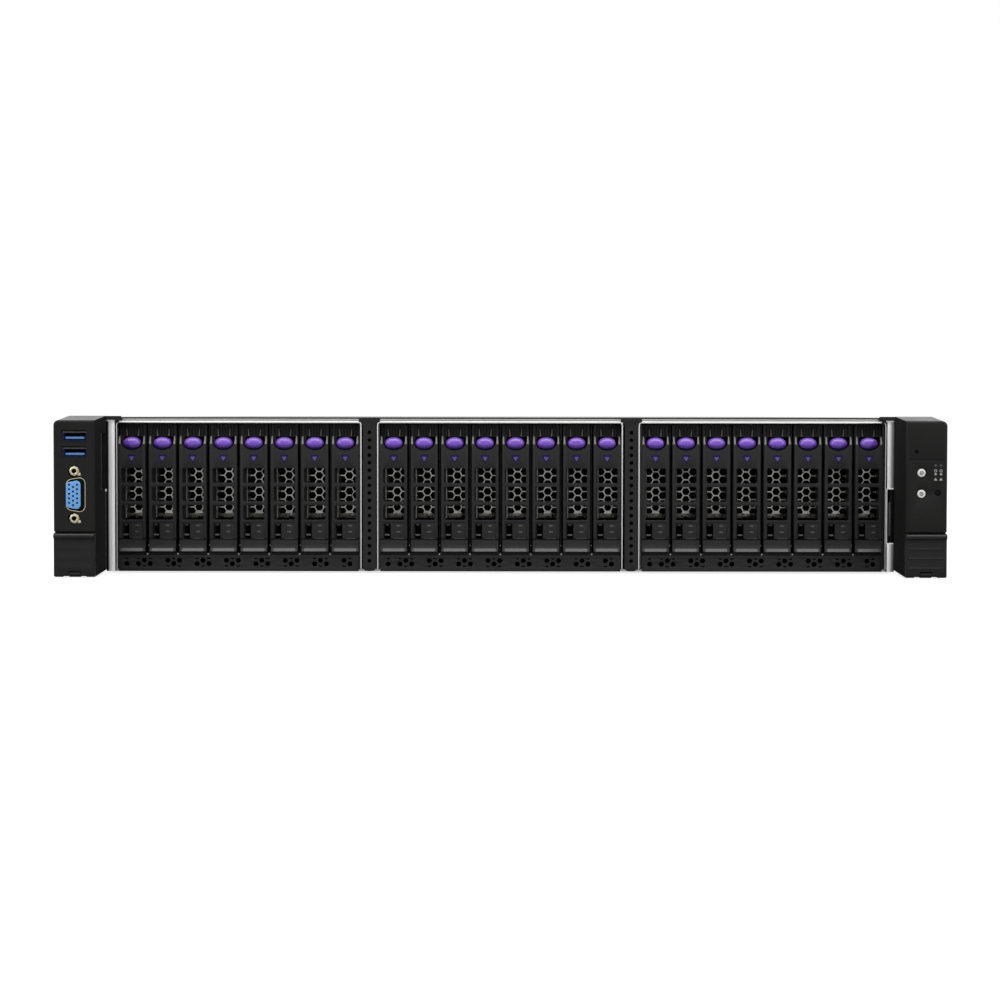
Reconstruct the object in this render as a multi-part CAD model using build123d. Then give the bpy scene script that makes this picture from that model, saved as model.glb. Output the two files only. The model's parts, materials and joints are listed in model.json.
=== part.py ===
from build123d import *
import os
from math import cos, radians, sin

# Rackmount server chassis, 2U high, with three cages of eight upright 2.5 inch drive carriers.
# Millimetres. X runs across the front (+X is the right ear), the front faces -Y and +Z is up.
# The origin is midway between the two rack screw holes: y = 0 is the face of the ears that meets
# the rack posts, and everything in front of it stands proud of the rack. Heights below are
# measured up from the underside, and save() lowers each piece to the origin.

# Chassis
CHASSIS_D = 730.0            # rack plane to the rear panel
SHEET = 1.2                  # steel of the tub, roof, cover and rear panel
STEP_D = 20.0                # the floor is joggled up over this depth at the front
TOP_FLANGE_W = 12.0          # inward flange along the top of each side wall
POST_W = 4.6                 # rounded front edge of each side wall
POST_D = 8.0
POST_R = 2.1
RAIL_H = 3.6                 # hemmed front lip of the roof
RAIL_D = 2.4
RAIL_R = 1.1
RAIL_END_GAP = 0.3           # rail to post
ROOF_D = 163.8               # fixed roof over the drive cages
COVER_GAP = 0.4              # seams of the lift-off cover
COVER_RIB_H = 2.0            # folds under the cover that centre it in the tub
COVER_RIB_GAP = 0.8
COVER_RIB_Y0 = 225.0
COVER_RIB_PSU_GAP = 10.0     # end of the folds to the power supplies
PAD_L = 70.0                 # pressed grip pads on the cover
PAD_W = 22.0
PAD_DEPTH = 0.5
PAD_CUT = 7.0
PAD_X = 110.0
PAD_Y = 215.0
RAIL_SCREW_R = 2.1           # slide-rail screw holes in the side walls
RAIL_SCREW_Z = 43.5
RAIL_SCREW_Y0 = 250.0
RAIL_SCREW_INSET = 80.0      # rear hole to the rear of the chassis
CABLE_CUT_Z0 = 17.0          # cable cut-out in the right post
CABLE_CUT_Z1 = 47.5
CABLE_CUT_SKIN = 1.6

# Drive bays
CAGES = 3
BAYS = 8                     # in each cage
CARRIER_W = 15.0
CARRIER_GAP = 1.95           # between neighbouring carriers
BAY_SIDE_GAP = 0.25          # end carriers to the cage walls
CAGE_GAP = 9.45              # between neighbouring cages
CAGE_SIDE_GAP = 0.725        # outer cages to the posts of the tub
CAGE_WALL = 1.0
CAGE_FRONT = 8.0             # partitions start this far behind the rack plane
BAY_Z0 = 11.5                # bay floor
ROOF_GAP = 1.4               # cages to the roof
PARTITION = 0.8
PARTITION_CUT_Y0 = 32.0      # lightening window in each partition
PARTITION_CUT_Y1 = 100.0
PARTITION_CUT_MARGIN = 14.0
SLIDE_GAP = 0.3              # carrier to bay floor and ceiling

# Front trim between and under the cages
TRIM_W = 7.3
TRIM_T = 1.2
TRIM_Z0 = 1.3
TRIM_TOP_DROP = 0.3
TRIM_FLARE_W = 11.1
TRIM_FLARE_R = 1.5           # slant under the flared head
TRIM_FOOT_R = 3.0
TRIM_LEG_D = 10.0
TRIM_LEG_T = 0.8
SILL_T = 1.2
SILL_SIDE_GAP = 0.3
SILL_SLOT_W = 11.2           # air slot under each bay
SILL_SLOT_H = 4.6
SILL_SLOT_Z = 6.2

# Drive carrier
LEVER_T = 2.4
LEVER_TOP_DROP = 6.7         # top of the sled to the top of the lever
LEVER_TAPER = 1.6            # the prongs beside the button lean back by this much
LEVER_TAPER_H = 4.4
LEVER_HINGE_Z = 20.4
LEVER_GAP = 0.3              # lever to the foot, button and grille
LEVER_RIM_T = 0.8            # side rims behind the lever panel
LEVER_RIM_DROP = 10.4
LEVER_EAR_W = 0.9            # room for the hinge ears beside the lever's foot
PIN_R = 0.5
PIN_FIT = 0.05
WINDOW_W = 11.7
WINDOW_BAR = 2.35
WINDOW_DROP = 17.8           # top of the lever to the top window
WINDOW_Z0 = 29.3             # bottom of the lowest window
WINDOWS = 3
SLOT_W = 3.4                 # finger slot at the lever's lower left, open downwards
SLOT_X = -3.8
SLOT_TOP = 27.8
NOTCH_HALF = 6.2             # notch of the lever round the button
NOTCH_CUT = 3.0
BUTTON_W = 9.9
BUTTON_H = 7.2
BUTTON_DROP = 3.1            # top of the lever to the middle of the button
BUTTON_CUT = 2.2             # slant at the button's corners
BUTTON_PROUD = 1.0
BUTTON_DOME = 0.8
BUTTON_TRAVEL = 1.5
SLED_W = 14.8
SLED_FRONT_Y = 5.0           # front of the sled's frame, behind lever and grille
SLED_FRAME_D = 15.0
SLED_LEFT_T = 2.4            # frame beside its opening
SLED_RIGHT_T = 0.7
SLED_HEAD_H = 7.0            # solid head above the frame's opening
FOOT_TOP = 18.9              # fixed foot under the lever
LIP_H = 4.2                  # the foot's lip flares forward over this height
LIP_PROUD = 0.75
LIP_EDGE = 0.6
TRAY_T = 1.2                 # side plate that the drive is screwed to
TRAY_MARGIN = 0.6
TRAY_CUT_L = 44.0
TRAY_CUT_H = 40.0
DRIVE_L = 100.45             # 2.5 inch drive
DRIVE_W = 69.85
DRIVE_T = 9.5
DRIVE_EDGE_GAP = 0.725       # drive to the top and bottom of the sled
DRIVE_GAP = 1.0              # sled frame to the drive
GRILLE_T = 0.8
GRILLE_BACK = 2.0            # grille to the rear of the sled's frame
GRILLE_MARGIN = 2.0          # grille plate above the top window
GRILLE_LIP = 1.1             # grille plate above the bottom of the lowest window
HEX_PITCH = 4.46             # height of one hexagonal cell
HEX_WEB = 0.55
HEX_X = 1.25                 # middle column of cells
HEX_Z0 = 34.0                # lowest cells of the side columns
HEX_ROWS = 5
PLUG_W = 4.5                 # backplane connector of each bay
PLUG_D = 4.8
PLUG_L = 32.0
PLUG_GAP = 0.35
PLUG_Z0 = 20.0
BOARD_T = 1.6
BACKPLANE_MARGIN = 0.6
BACKPLANE_Z0 = 3.0
VENT_W = 8.0                 # vents through each backplane
VENT_H = 52.0

# Rack ears
EAR_W = 22.3                 # makes the EIA 19 inch panel width of 482.6
EAR_D = 38.0
EAR_WALL = 2.0
EAR_Z0 = 0.6
EAR_Z0_REAR = 2.1
EAR_TOP_DROP = 1.9           # top of the chassis to the top of the ear's face
EAR_RISE = 0.6               # rear of the ear's top above the chassis
EAR_SPLIT = 25.2             # body above, flip-down screw door below
EAR_EDGE_R = 2.7
EAR_FRONT_R = 0.9            # small slant round the ear's front face
EAR_FLOOR_T = 2.0
FLANGE_T = 2.0               # steel flange that meets the rack post
ARM_T = 1.2
ARM_L = 40.0
ARM_MARGIN = 8.0
RACK_HOLE_INSET = 8.75       # to the ear's outer side, makes the EIA-310 spacing of 465.1
RACK_HOLE_R = 3.5
RACK_HOLE_Z = 21.85
HOOK_W = 8.5                 # tab of each ear over the roof's corner
HOOK_GAP = 0.2               # rear of the tab to the rack plane
HOOK_DROP = 1.7
HOOK_RISE = 0.5
HOOK_T = 1.2
CHEEK_CUT_Y = 16.0           # cable notch in the left ear's inner cheek
CHEEK_CUT_H = 31.0
CHEEK_CUT_DROP = 7.1

# Flip-down doors over the rack screws
DOOR_T = 2.5
DOOR_TOP = 24.2
DOOR_Z0 = 0.9
DOOR_LEDGE_H = 2.4
DOOR_LEDGE_PROUD = 1.5
DOOR_AXIS_BACK = 1.6         # hinge axis behind the door's face
DOOR_AXIS_Z = 1.9
KNUCKLE_R = 1.5
KNUCKLE_L = 4.5
DOOR_PIN_R = 0.7
DOOR_GAP = 0.3
LUG_W = 6.0
RIDGE_H = 0.4                # grip ridges on the door
RIDGE_Z = (5.6, 10.9, 16.0)

# Ports on the left ear
USB_W = 13.1
USB_H = 5.7
USB_SHELL = 0.35
USB_L = 14.0
USB_DROP = (8.3, 17.0)       # top of the ear's face to the middle of each port
USB_TONGUE_W = 11.1
USB_TONGUE_T = 1.9
VGA_SHIFT = 0.35             # outwards from the middle of the ear
VGA_DROP = 40.2
VGA_SLANT = 10.0             # degrees
VGA_L = 16.9                 # D-shell, long side upright
VGA_W = 8.6
VGA_R = 1.8
VGA_SHELL = 0.5
VGA_PROUD = 1.2
VGA_DEPTH = 10.0
VGA_PLATE_L = 30.8
VGA_PLATE_W = 12.5
VGA_PLATE_T = 0.8
JACK_SPACING = 24.99
JACK_AF = 4.75
JACK_CLEARANCE = 0.4
JACK_HOLE_R = 1.3
PORT_GAP = 0.15

# Buttons on the right ear
KEY_R = 2.2
KEY_INSET = 8.3              # from the side of the chassis
POWER_DROP = 27.8            # top of the ear's face to the middle of each button
ID_DROP = 39.1
RESET_INSET = 5.1            # from the ear's outer side
RESET_DROP = 38.6
RESET_R = 1.0
RESET_SUNK = 0.6
KEY_GAP = 0.2
KEY_PROUD = 0.3
KEY_FLANGE = 0.8
GROOVE_DROP = 20.6
GROOVE_H = 0.6
GROOVE_DEPTH = 0.5

# Fans
FANS = 4
FAN_TOP_GAP = 4.6            # fan to the roof
FAN_D = 38.0
FAN_WALL = 2.2
FAN_PITCH = 92.0
FAN_Y0 = 172.0
FAN_CORNER = 3.0
HUB_R = 17.0
HUB_SIDES = 14
HUB_Y0 = 8.0
HUB_L = 24.0
BLADES = 7
BLADE_GAP = 1.8              # blade tip to the duct
BLADE_ROOT = 1.0             # blade inside the hub
BLADE_CHORD = 19.0
BLADE_T = 1.2
BLADE_ANGLE = 38.0
CUP_L = 4.0                  # motor cup and struts at the outlet
STRUT_W = 3.0
STRUTS = 3
SHAFT_R = 1.5
SHAFT_FIT = 0.05

# Main board
BOARD_SIDE_GAP = 5.0
BOARD_PSU_GAP = 5.8
BOARD_Y0 = 245.0
BOARD_REAR_GAP = 5.0
BOARD_Z = 7.2
STANDOFF_AF = 6.0
STANDOFF_INSET = 12.0
SOCKET_H = 3.2
SINK_L = 110.0
SINK_W = 78.0
SINK_TOP_GAP = 13.8          # heat sink to the roof
SINK_BASE = 6.0
SINK_FINS = 14
FIN_T = 1.0
CPU_X = (-126.0, 46.0)
CPU_Y = 360.0
DIMM_L = 133.35
DIMM_H = 31.25
DIMM_T = 2.6
DIMM_PITCH = 9.4
DIMMS = 4                    # in each bank
DIMM_SOCKET_H = 5.0
DIMM_SOCKET_W = 6.2
BANK_GAP = 8.0
LAN_W = 16.0
LAN_H = 13.5
LAN_D = 21.0
LAN_X = (-190.0, -170.0)
REAR_USB_W = 13.2
REAR_USB_H = 13.0
REAR_USB_X = -148.0

# Rear
SLOT_COVER_L = 118.0
SLOT_COVER_H = 18.4
SLOT_COVER_PITCH = 20.3
SLOT_COVER_X = (-141.0, -5.0)
SLOT_COVER_Z0 = 25.0
SLOT_LIP = 3.0
IO_CUT_GAP = 0.6
PSU_W = 73.5
PSU_L = 185.0
PSU_SIDE_GAP = 4.5
PSU_TOP_GAP = 2.5
PSU_GAP = 0.3
PSU_HANDLE_D = 14.0
PSU_HANDLE_W = 4.0
PSU_HANDLE_L = 20.0
PSU_HANDLE_INSET = 5.0
PSU_INLET_X = 22.0
PSU_INLET_W = 27.0
PSU_INLET_H = 20.0
PSU_INLET_DEPTH = 14.0
PSU_BAY_LEAD = 5.0           # the bay starts ahead of the power supplies

# Edges picked by their place may be off by this
TOUCH = 0.01

# Worked out from the sizes above
BAY_PITCH = CARRIER_W + CARRIER_GAP
CAGE_INNER = (BAYS - 1) * BAY_PITCH + CARRIER_W + 2 * BAY_SIDE_GAP
CAGE_HALF = CAGE_INNER / 2 + CAGE_WALL
CAGE_PITCH = 2 * CAGE_HALF + CAGE_GAP
BAY_Z1 = BAY_Z0 + DRIVE_W + 2 * DRIVE_EDGE_GAP + 2 * SLIDE_GAP
CAGE_Z0 = 2 * SHEET
CAGE_Z1 = BAY_Z1 + CAGE_WALL
CHASSIS_W = (CAGES - 1) * CAGE_PITCH + 2 * (CAGE_HALF + CAGE_SIDE_GAP + POST_W)
CHASSIS_H = CAGE_Z1 + ROOF_GAP + SHEET
SIDE_X = CHASSIS_W / 2
ROOF_Z = CHASSIS_H - SHEET
REAR_Y = CHASSIS_D - SHEET
CAGE_X = [(i - (CAGES - 1) / 2) * CAGE_PITCH for i in range(CAGES)]
TRIM_X = [(a + b) / 2 for a, b in zip(CAGE_X, CAGE_X[1:])]
BAY_X = [cx + (k - (BAYS - 1) / 2) * BAY_PITCH for cx in CAGE_X for k in range(BAYS)]
SLED_Z0 = BAY_Z0 + SLIDE_GAP
SLED_Z1 = BAY_Z1 - SLIDE_GAP
SLED_BACK = SLED_FRONT_Y + SLED_FRAME_D
DRIVE_Y0 = SLED_BACK + DRIVE_GAP
CAGE_D = DRIVE_Y0 + DRIVE_L + PLUG_GAP + PLUG_D
LEVER_TOP = SLED_Z1 - LEVER_TOP_DROP
BUTTON_Z = LEVER_TOP - BUTTON_DROP
WINDOW_TOP = LEVER_TOP - WINDOW_DROP
WINDOW_H = (WINDOW_TOP - WINDOW_Z0 - (WINDOWS - 1) * WINDOW_BAR) / WINDOWS
EAR_X = SIDE_X + EAR_W
EAR_Z1 = CHASSIS_H - EAR_TOP_DROP
EAR_Z1_REAR = CHASSIS_H + EAR_RISE
RACK_HOLE_SPACING = 2 * (EAR_X - RACK_HOLE_INSET)
USB_X = SIDE_X + EAR_W / 2
USB_Z = [EAR_Z1 - drop for drop in USB_DROP]
VGA_X = SIDE_X + EAR_W / 2 + VGA_SHIFT
VGA_Z = EAR_Z1 - VGA_DROP
KEY_X = SIDE_X + KEY_INSET
RESET_X = EAR_X - RESET_INSET
DOOR_AXIS_Y = -EAR_D + DOOR_AXIS_BACK
CHEEK_Y = DOOR_AXIS_Y + KNUCKLE_R + DOOR_GAP
PSU_H = (ROOF_Z - PSU_TOP_GAP - 2 * SHEET - 3 * PSU_GAP) / 2
PSU_Z = [SHEET + PSU_GAP, SHEET + 2 * PSU_GAP + PSU_H + SHEET + PSU_GAP]
PSU_X0 = SIDE_X - SHEET - PSU_SIDE_GAP - PSU_W
PSU_FRONT = CHASSIS_D - PSU_L
FAN_SIZE = ROOF_Z - SHEET - FAN_TOP_GAP
FAN_BORE_R = FAN_SIZE / 2 - FAN_WALL
BLADE_R = FAN_BORE_R - BLADE_GAP
FAN_X = [(i - (FANS - 1) / 2) * FAN_PITCH for i in range(FANS)]
BOARD_TOP = BOARD_Z + BOARD_T
BOARD_X0 = -SIDE_X + BOARD_SIDE_GAP
BOARD_X1 = PSU_X0 - BOARD_PSU_GAP
BOARD_Y1 = CHASSIS_D - BOARD_REAR_GAP
SINK_H = ROOF_Z - BOARD_TOP - SOCKET_H - SINK_TOP_GAP
SLOT_ROWS = int((ROOF_Z - SLOT_COVER_Z0 + SLOT_COVER_PITCH - SLOT_COVER_H) / SLOT_COVER_PITCH)


def rect(x0, x1, y0, y1):
    """A flat rectangle between two corners."""
    return Pos((x0 + x1) / 2, (y0 + y1) / 2) * Rectangle(x1 - x0, y1 - y0)


def cut_cornered(x0, x1, y0, y1, cut):
    """A rectangle with its corners cut off at 45 degrees, between two corners."""
    face = rect(x0, x1, y0, y1)
    return chamfer(face.vertices(), cut)


def along_x(sketch, x0, x1):
    """A sketch drawn in (y, z), made solid from x0 to x1."""
    return extrude(Plane.YZ.offset(x0) * sketch, x1 - x0)


def along_y(sketch, y0, y1):
    """A sketch drawn in (x, z), made solid from y0 to y1."""
    return extrude(Plane.XZ.offset(-y1) * sketch, y1 - y0)


def along_z(sketch, z0, z1):
    """A sketch drawn in (x, y), made solid from z0 to z1."""
    return extrude(Plane.XY.offset(z0) * sketch, z1 - z0)


def block(x0, x1, y0, y1, z0, z1):
    """A box between two corners."""
    return along_z(rect(x0, x1, y0, y1), z0, z1)


def rod_x(y, z, r, x0, x1):
    """A round rod along X."""
    return along_x(Pos(y, z) * Circle(r), x0, x1)


def rod_y(x, z, r, y0, y1):
    """A round rod along Y."""
    return along_y(Pos(x, z) * Circle(r), y0, y1)


def mirrored(solid):
    """The same piece for the other side of the chassis."""
    return mirror(solid, about=Plane.YZ)


def save(name, *solids):
    """Write one piece, or a group of separate solids, as parts/NAME.step, from the rack holes."""
    flat = [Pos(0, 0, -RACK_HOLE_Z) * s for item in solids for s in item.solids()]
    export_step(flat[0] if len(flat) == 1 else Compound(flat), f"parts/{name}.step")


# Chassis shell

def chassis_tub():
    """Floor and side walls folded from one sheet, with the rounded front posts."""
    floor = block(-SIDE_X, SIDE_X, STEP_D, CHASSIS_D, 0, SHEET)
    step = block(-SIDE_X, SIDE_X, SILL_T + COVER_GAP, STEP_D + 2 * SHEET, SHEET, 2 * SHEET)
    tub = floor + step
    side = Polyline(
        (0, SHEET), (STEP_D, SHEET), (STEP_D, 0), (CHASSIS_D, 0), (CHASSIS_D, ROOF_Z), (0, ROOF_Z), close=True
    )
    wall = along_x(make_face(side), SIDE_X - SHEET, SIDE_X)
    flange = block(SIDE_X - TOP_FLANGE_W, SIDE_X, POST_D, REAR_Y, ROOF_Z - SHEET, ROOF_Z)
    post = rect(SIDE_X - POST_W, SIDE_X, 0, POST_D)
    front_corners = post.vertices().group_by(Axis.Y)[0]
    wall += flange + along_z(fillet(front_corners, POST_R), SHEET, ROOF_Z)
    for y in (RAIL_SCREW_Y0, CHASSIS_D - RAIL_SCREW_INSET):
        wall -= rod_x(y, RAIL_SCREW_Z, RAIL_SCREW_R, SIDE_X - 2 * SHEET, SIDE_X + SHEET)
    cable_cut = block(
        SIDE_X - POST_W, SIDE_X - CABLE_CUT_SKIN, 0, POST_D, CABLE_CUT_Z0, CABLE_CUT_Z1
    )
    return tub + mirrored(wall) + (wall - cable_cut)


def front_roof():
    """Fixed roof over the cages, hemmed down into the front rail."""
    lip = rect(0, RAIL_D, CHASSIS_H - RAIL_H, CHASSIS_H)
    lip = fillet(lip.vertices().group_by(Axis.X)[0], RAIL_R)
    half = SIDE_X - POST_W - RAIL_END_GAP
    return along_x(lip, -half, half) + block(-SIDE_X, SIDE_X, RAIL_R, ROOF_D, ROOF_Z, CHASSIS_H)


def top_cover():
    """Lift-off cover with two pressed grip pads and centring folds underneath."""
    y0 = ROOF_D + COVER_GAP
    cover = block(-SIDE_X, SIDE_X, y0, CHASSIS_D - COVER_GAP, ROOF_Z, CHASSIS_H)
    for side in (-1, 1):
        x = side * (SIDE_X - TOP_FLANGE_W - COVER_RIB_GAP - SHEET / 2)
        cover += block(x - SHEET / 2, x + SHEET / 2, COVER_RIB_Y0, PSU_FRONT - COVER_RIB_PSU_GAP,
                       ROOF_Z - COVER_RIB_H, ROOF_Z)
        middle = side * PAD_X
        pad = cut_cornered(middle - PAD_L / 2, middle + PAD_L / 2, PAD_Y - PAD_W / 2, PAD_Y + PAD_W / 2, PAD_CUT)
        cover -= along_z(pad, CHASSIS_H - PAD_DEPTH, CHASSIS_H)
    return cover


def rear_panel():
    """Rear wall with openings for the ports, card slots and power supplies."""
    half = SIDE_X - SHEET
    wall = rect(-half, half, SHEET, ROOF_Z)
    wall -= rect(PSU_X0 - PSU_GAP, half - PSU_GAP, SHEET + PSU_GAP / 2, ROOF_Z - 2 * SHEET)
    for x in SLOT_COVER_X:
        for row in range(SLOT_ROWS):
            z = SLOT_COVER_Z0 + row * SLOT_COVER_PITCH
            wall -= rect(
                x - SLOT_COVER_L / 2 + SLOT_LIP,
                x + SLOT_COVER_L / 2 - SLOT_LIP,
                z + SLOT_LIP,
                z + SLOT_COVER_H - SLOT_LIP,
            )
    for x in LAN_X:
        wall -= rect(x - LAN_W / 2 - IO_CUT_GAP, x + LAN_W / 2 + IO_CUT_GAP,
                     BOARD_TOP - IO_CUT_GAP, BOARD_TOP + LAN_H + IO_CUT_GAP)
    wall -= rect(REAR_USB_X - REAR_USB_W / 2 - IO_CUT_GAP, REAR_USB_X + REAR_USB_W / 2 + IO_CUT_GAP,
                 BOARD_TOP - IO_CUT_GAP, BOARD_TOP + REAR_USB_H + IO_CUT_GAP)
    return along_y(wall, REAR_Y, CHASSIS_D)


# Drive cages and front trim

def drive_cage(cx):
    """Sheet-steel cage: two side walls, bay floor and ceiling, and a partition between bays."""
    cage = block(cx - CAGE_HALF, cx + CAGE_HALF, CAGE_FRONT, CAGE_D, BAY_Z0 - CAGE_WALL, BAY_Z0)
    cage += block(cx - CAGE_HALF, cx + CAGE_HALF, RAIL_D + SLIDE_GAP, CAGE_D, BAY_Z1, CAGE_Z1)
    for side in (-1, 1):
        x = cx + side * (CAGE_HALF - CAGE_WALL / 2)
        front = 0 if cx == 0 or side * cx < 0 else RAIL_D
        wall = rect(front, CAGE_D, CAGE_Z0, CHASSIS_H - RAIL_H - SLIDE_GAP)
        wall += rect(RAIL_D + SLIDE_GAP, CAGE_D, CAGE_Z0, CAGE_Z1)
        cage += along_x(wall, x - CAGE_WALL / 2, x + CAGE_WALL / 2)
    plate = rect(CAGE_FRONT, CAGE_D, BAY_Z0, BAY_Z1)
    plate -= rect(
        PARTITION_CUT_Y0, PARTITION_CUT_Y1, BAY_Z0 + PARTITION_CUT_MARGIN, BAY_Z1 - PARTITION_CUT_MARGIN
    )
    for k in range(BAYS - 1):
        x = cx + (k + 1 - BAYS / 2) * BAY_PITCH
        cage += along_x(plate, x - PARTITION / 2, x + PARTITION / 2)
    return cage


def divider_post(x):
    """Perforated trim that closes the gap between two cages, with a flared head and round foot."""
    top = CHASSIS_H - TRIM_TOP_DROP
    face = rect(x - TRIM_W / 2, x + TRIM_W / 2, TRIM_Z0, top)
    face += rect(x - TRIM_FLARE_W / 2, x + TRIM_FLARE_W / 2, CHASSIS_H - RAIL_H, top)
    corners = face.vertices()
    face = fillet(corners.group_by(Axis.Y)[0], TRIM_FOOT_R)
    neck = [v for v in face.vertices() if abs(v.Y - (CHASSIS_H - RAIL_H)) < TOUCH and abs(v.X - x) < TRIM_W]
    inner = [v for v in neck if abs(v.X - x) < TRIM_W / 2 + TOUCH]
    face = chamfer(inner, TRIM_FLARE_R)
    post = along_y(face, -TRIM_T, 0)
    for side in (-1, 1):
        leg = x + side * (TRIM_W - TRIM_LEG_T) / 2
        post += block(leg - TRIM_LEG_T / 2, leg + TRIM_LEG_T / 2, 0, TRIM_LEG_D,
                      CAGE_Z0 + SLIDE_GAP, CHASSIS_H - RAIL_H - SLIDE_GAP)
    return post


def front_sill(cx):
    """Black sill under a cage: an upright plate with air slots and a shelf back to the bay floor."""
    half = CAGE_INNER / 2 - SILL_SIDE_GAP
    plate = rect(cx - half, cx + half, SHEET, BAY_Z0)
    for k in range(BAYS):
        x = cx + (k - (BAYS - 1) / 2) * BAY_PITCH
        plate -= rect(x - SILL_SLOT_W / 2, x + SILL_SLOT_W / 2,
                      SILL_SLOT_Z - SILL_SLOT_H / 2, SILL_SLOT_Z + SILL_SLOT_H / 2)
    return along_y(plate, 0, SILL_T) + block(
        cx - half, cx + half, SILL_T, CAGE_FRONT, BAY_Z0 - SILL_T, BAY_Z0
    )


def drive_backplane(cx):
    """Backplane board behind a cage, with vents, and one connector for each bay."""
    half = CAGE_HALF - BACKPLANE_MARGIN
    board = rect(cx - half, cx + half, BACKPLANE_Z0, CAGE_Z1)
    z = (BAY_Z0 + BAY_Z1) / 2
    for k in range(BAYS - 1):
        x = cx + (k + 1 - BAYS / 2) * BAY_PITCH
        board -= rect(x - VENT_W / 2, x + VENT_W / 2, z - VENT_H / 2, z + VENT_H / 2)
    pieces = [along_y(board, CAGE_D, CAGE_D + BOARD_T)]
    front = DRIVE_Y0 + DRIVE_L + PLUG_GAP
    for k in range(BAYS):
        x = cx + (k - (BAYS - 1) / 2) * BAY_PITCH
        pieces.append(block(x - PLUG_W / 2, x + PLUG_W / 2, front, CAGE_D, PLUG_Z0, PLUG_Z0 + PLUG_L))
    return pieces


# Drive carrier

def window_rows():
    """Bottom and top of each window in the lever, from the top one down."""
    pitch = WINDOW_H + WINDOW_BAR
    return [(WINDOW_TOP - i * pitch - WINDOW_H, WINDOW_TOP - i * pitch) for i in range(WINDOWS)]


def carrier_lever(hinged):
    """Lever panel of a carrier: notch for the button, three windows, a slot and side rims."""
    half = CARRIER_W / 2
    bottom = LEVER_HINGE_Z - LEVER_T / 2
    face = rect(-half, half, bottom, LEVER_TOP)
    if hinged:
        ears = LEVER_HINGE_Z + LEVER_T / 2 + LEVER_GAP
        for side in (-1, 1):
            face -= Pos(side * (half - LEVER_EAR_W / 2), (bottom + ears) / 2) * Rectangle(
                LEVER_EAR_W, ears - bottom
            )
    notch_z = BUTTON_Z - BUTTON_H / 2 - LEVER_GAP
    notch = rect(-NOTCH_HALF, NOTCH_HALF, notch_z, LEVER_TOP + LEVER_T)
    face -= chamfer(notch.vertices().group_by(Axis.Y)[0], NOTCH_CUT)
    for z0, z1 in window_rows():
        face -= rect(-WINDOW_W / 2, WINDOW_W / 2, z0, z1)
    face -= rect(SLOT_X - SLOT_W / 2, SLOT_X + SLOT_W / 2, 0, SLOT_TOP)
    lever = along_y(face, 0, LEVER_T)
    taper = Polyline(
        (0, LEVER_TOP - LEVER_TAPER_H), (0, LEVER_TOP), (LEVER_TAPER, LEVER_TOP), close=True
    )
    lever -= along_x(make_face(taper), -half, half)
    for side in (-1, 1):
        x = side * (half - LEVER_RIM_T / 2)
        lever += block(x - LEVER_RIM_T / 2, x + LEVER_RIM_T / 2, LEVER_T, SLED_FRONT_Y - LEVER_GAP,
                       LEVER_HINGE_Z + 2 * LEVER_T, LEVER_TOP - LEVER_RIM_DROP)
    foot = lever.edges().filter_by(Axis.X).group_by(Axis.Z)[0]
    if hinged:
        lever = fillet(foot, LEVER_T / 2 - TOUCH)
        lever -= rod_x(LEVER_T / 2, LEVER_HINGE_Z, PIN_R + PIN_FIT, -half, half)
    else:
        lever = chamfer(foot, LEVER_T / 3)
    return lever


def carrier_button():
    """Release button with slanted corners and a crowned front."""
    x, z = BUTTON_W / 2, BUTTON_H / 2
    stem = along_y(cut_cornered(-x, x, BUTTON_Z - z, BUTTON_Z + z, BUTTON_CUT), -BUTTON_PROUD,
                   SLED_FRONT_Y - BUTTON_TRAVEL - SLIDE_GAP)
    crown = stem.faces().sort_by(Axis.Y)[0].edges()
    return chamfer(crown, BUTTON_DOME)


def carrier_sled(hinged):
    """Sled: foot, front frame, head and the side tray that the drive is screwed to."""
    half = SLED_W / 2
    frame = rect(-half, half, SLED_Z0, SLED_Z1)
    frame -= rect(-half + SLED_LEFT_T, half - SLED_RIGHT_T, FOOT_TOP, SLED_Z1 - SLED_HEAD_H)
    sled = along_y(frame, SLED_FRONT_Y, SLED_BACK)
    foot = Polyline(
        (0, SLED_Z0), (SLED_FRONT_Y, SLED_Z0), (SLED_FRONT_Y, FOOT_TOP), (0, FOOT_TOP), (0, SLED_Z0 + LIP_H),
        (-LIP_PROUD, SLED_Z0 + LIP_EDGE), close=True
    )
    sled += along_x(make_face(foot), -half, half)
    tray = rect(SLED_BACK, DRIVE_Y0 + DRIVE_L, SLED_Z0 + TRAY_MARGIN, SLED_Z1 - TRAY_MARGIN)
    middle_y, middle_z = DRIVE_Y0 + DRIVE_L / 2, (SLED_Z0 + SLED_Z1) / 2
    tray -= Pos(middle_y, middle_z) * Rectangle(TRAY_CUT_L, TRAY_CUT_H)
    sled += along_x(tray, -half, -half + TRAY_T)
    if hinged:
        ear_top = LEVER_HINGE_Z + LEVER_T / 2
        for side in (-1, 1):
            ear = side * (half - LEVER_EAR_W / 2 + LEVER_GAP / 2)
            w = (LEVER_EAR_W - LEVER_GAP) / 2
            sled += block(ear - w, ear + w, SLIDE_GAP, SLED_FRONT_Y, FOOT_TOP, ear_top)
            tip = side * (half - 2 * LEVER_EAR_W)
            sled += rod_x(LEVER_T / 2, LEVER_HINGE_Z, PIN_R, min(ear, tip), max(ear, tip))
    return sled


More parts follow.
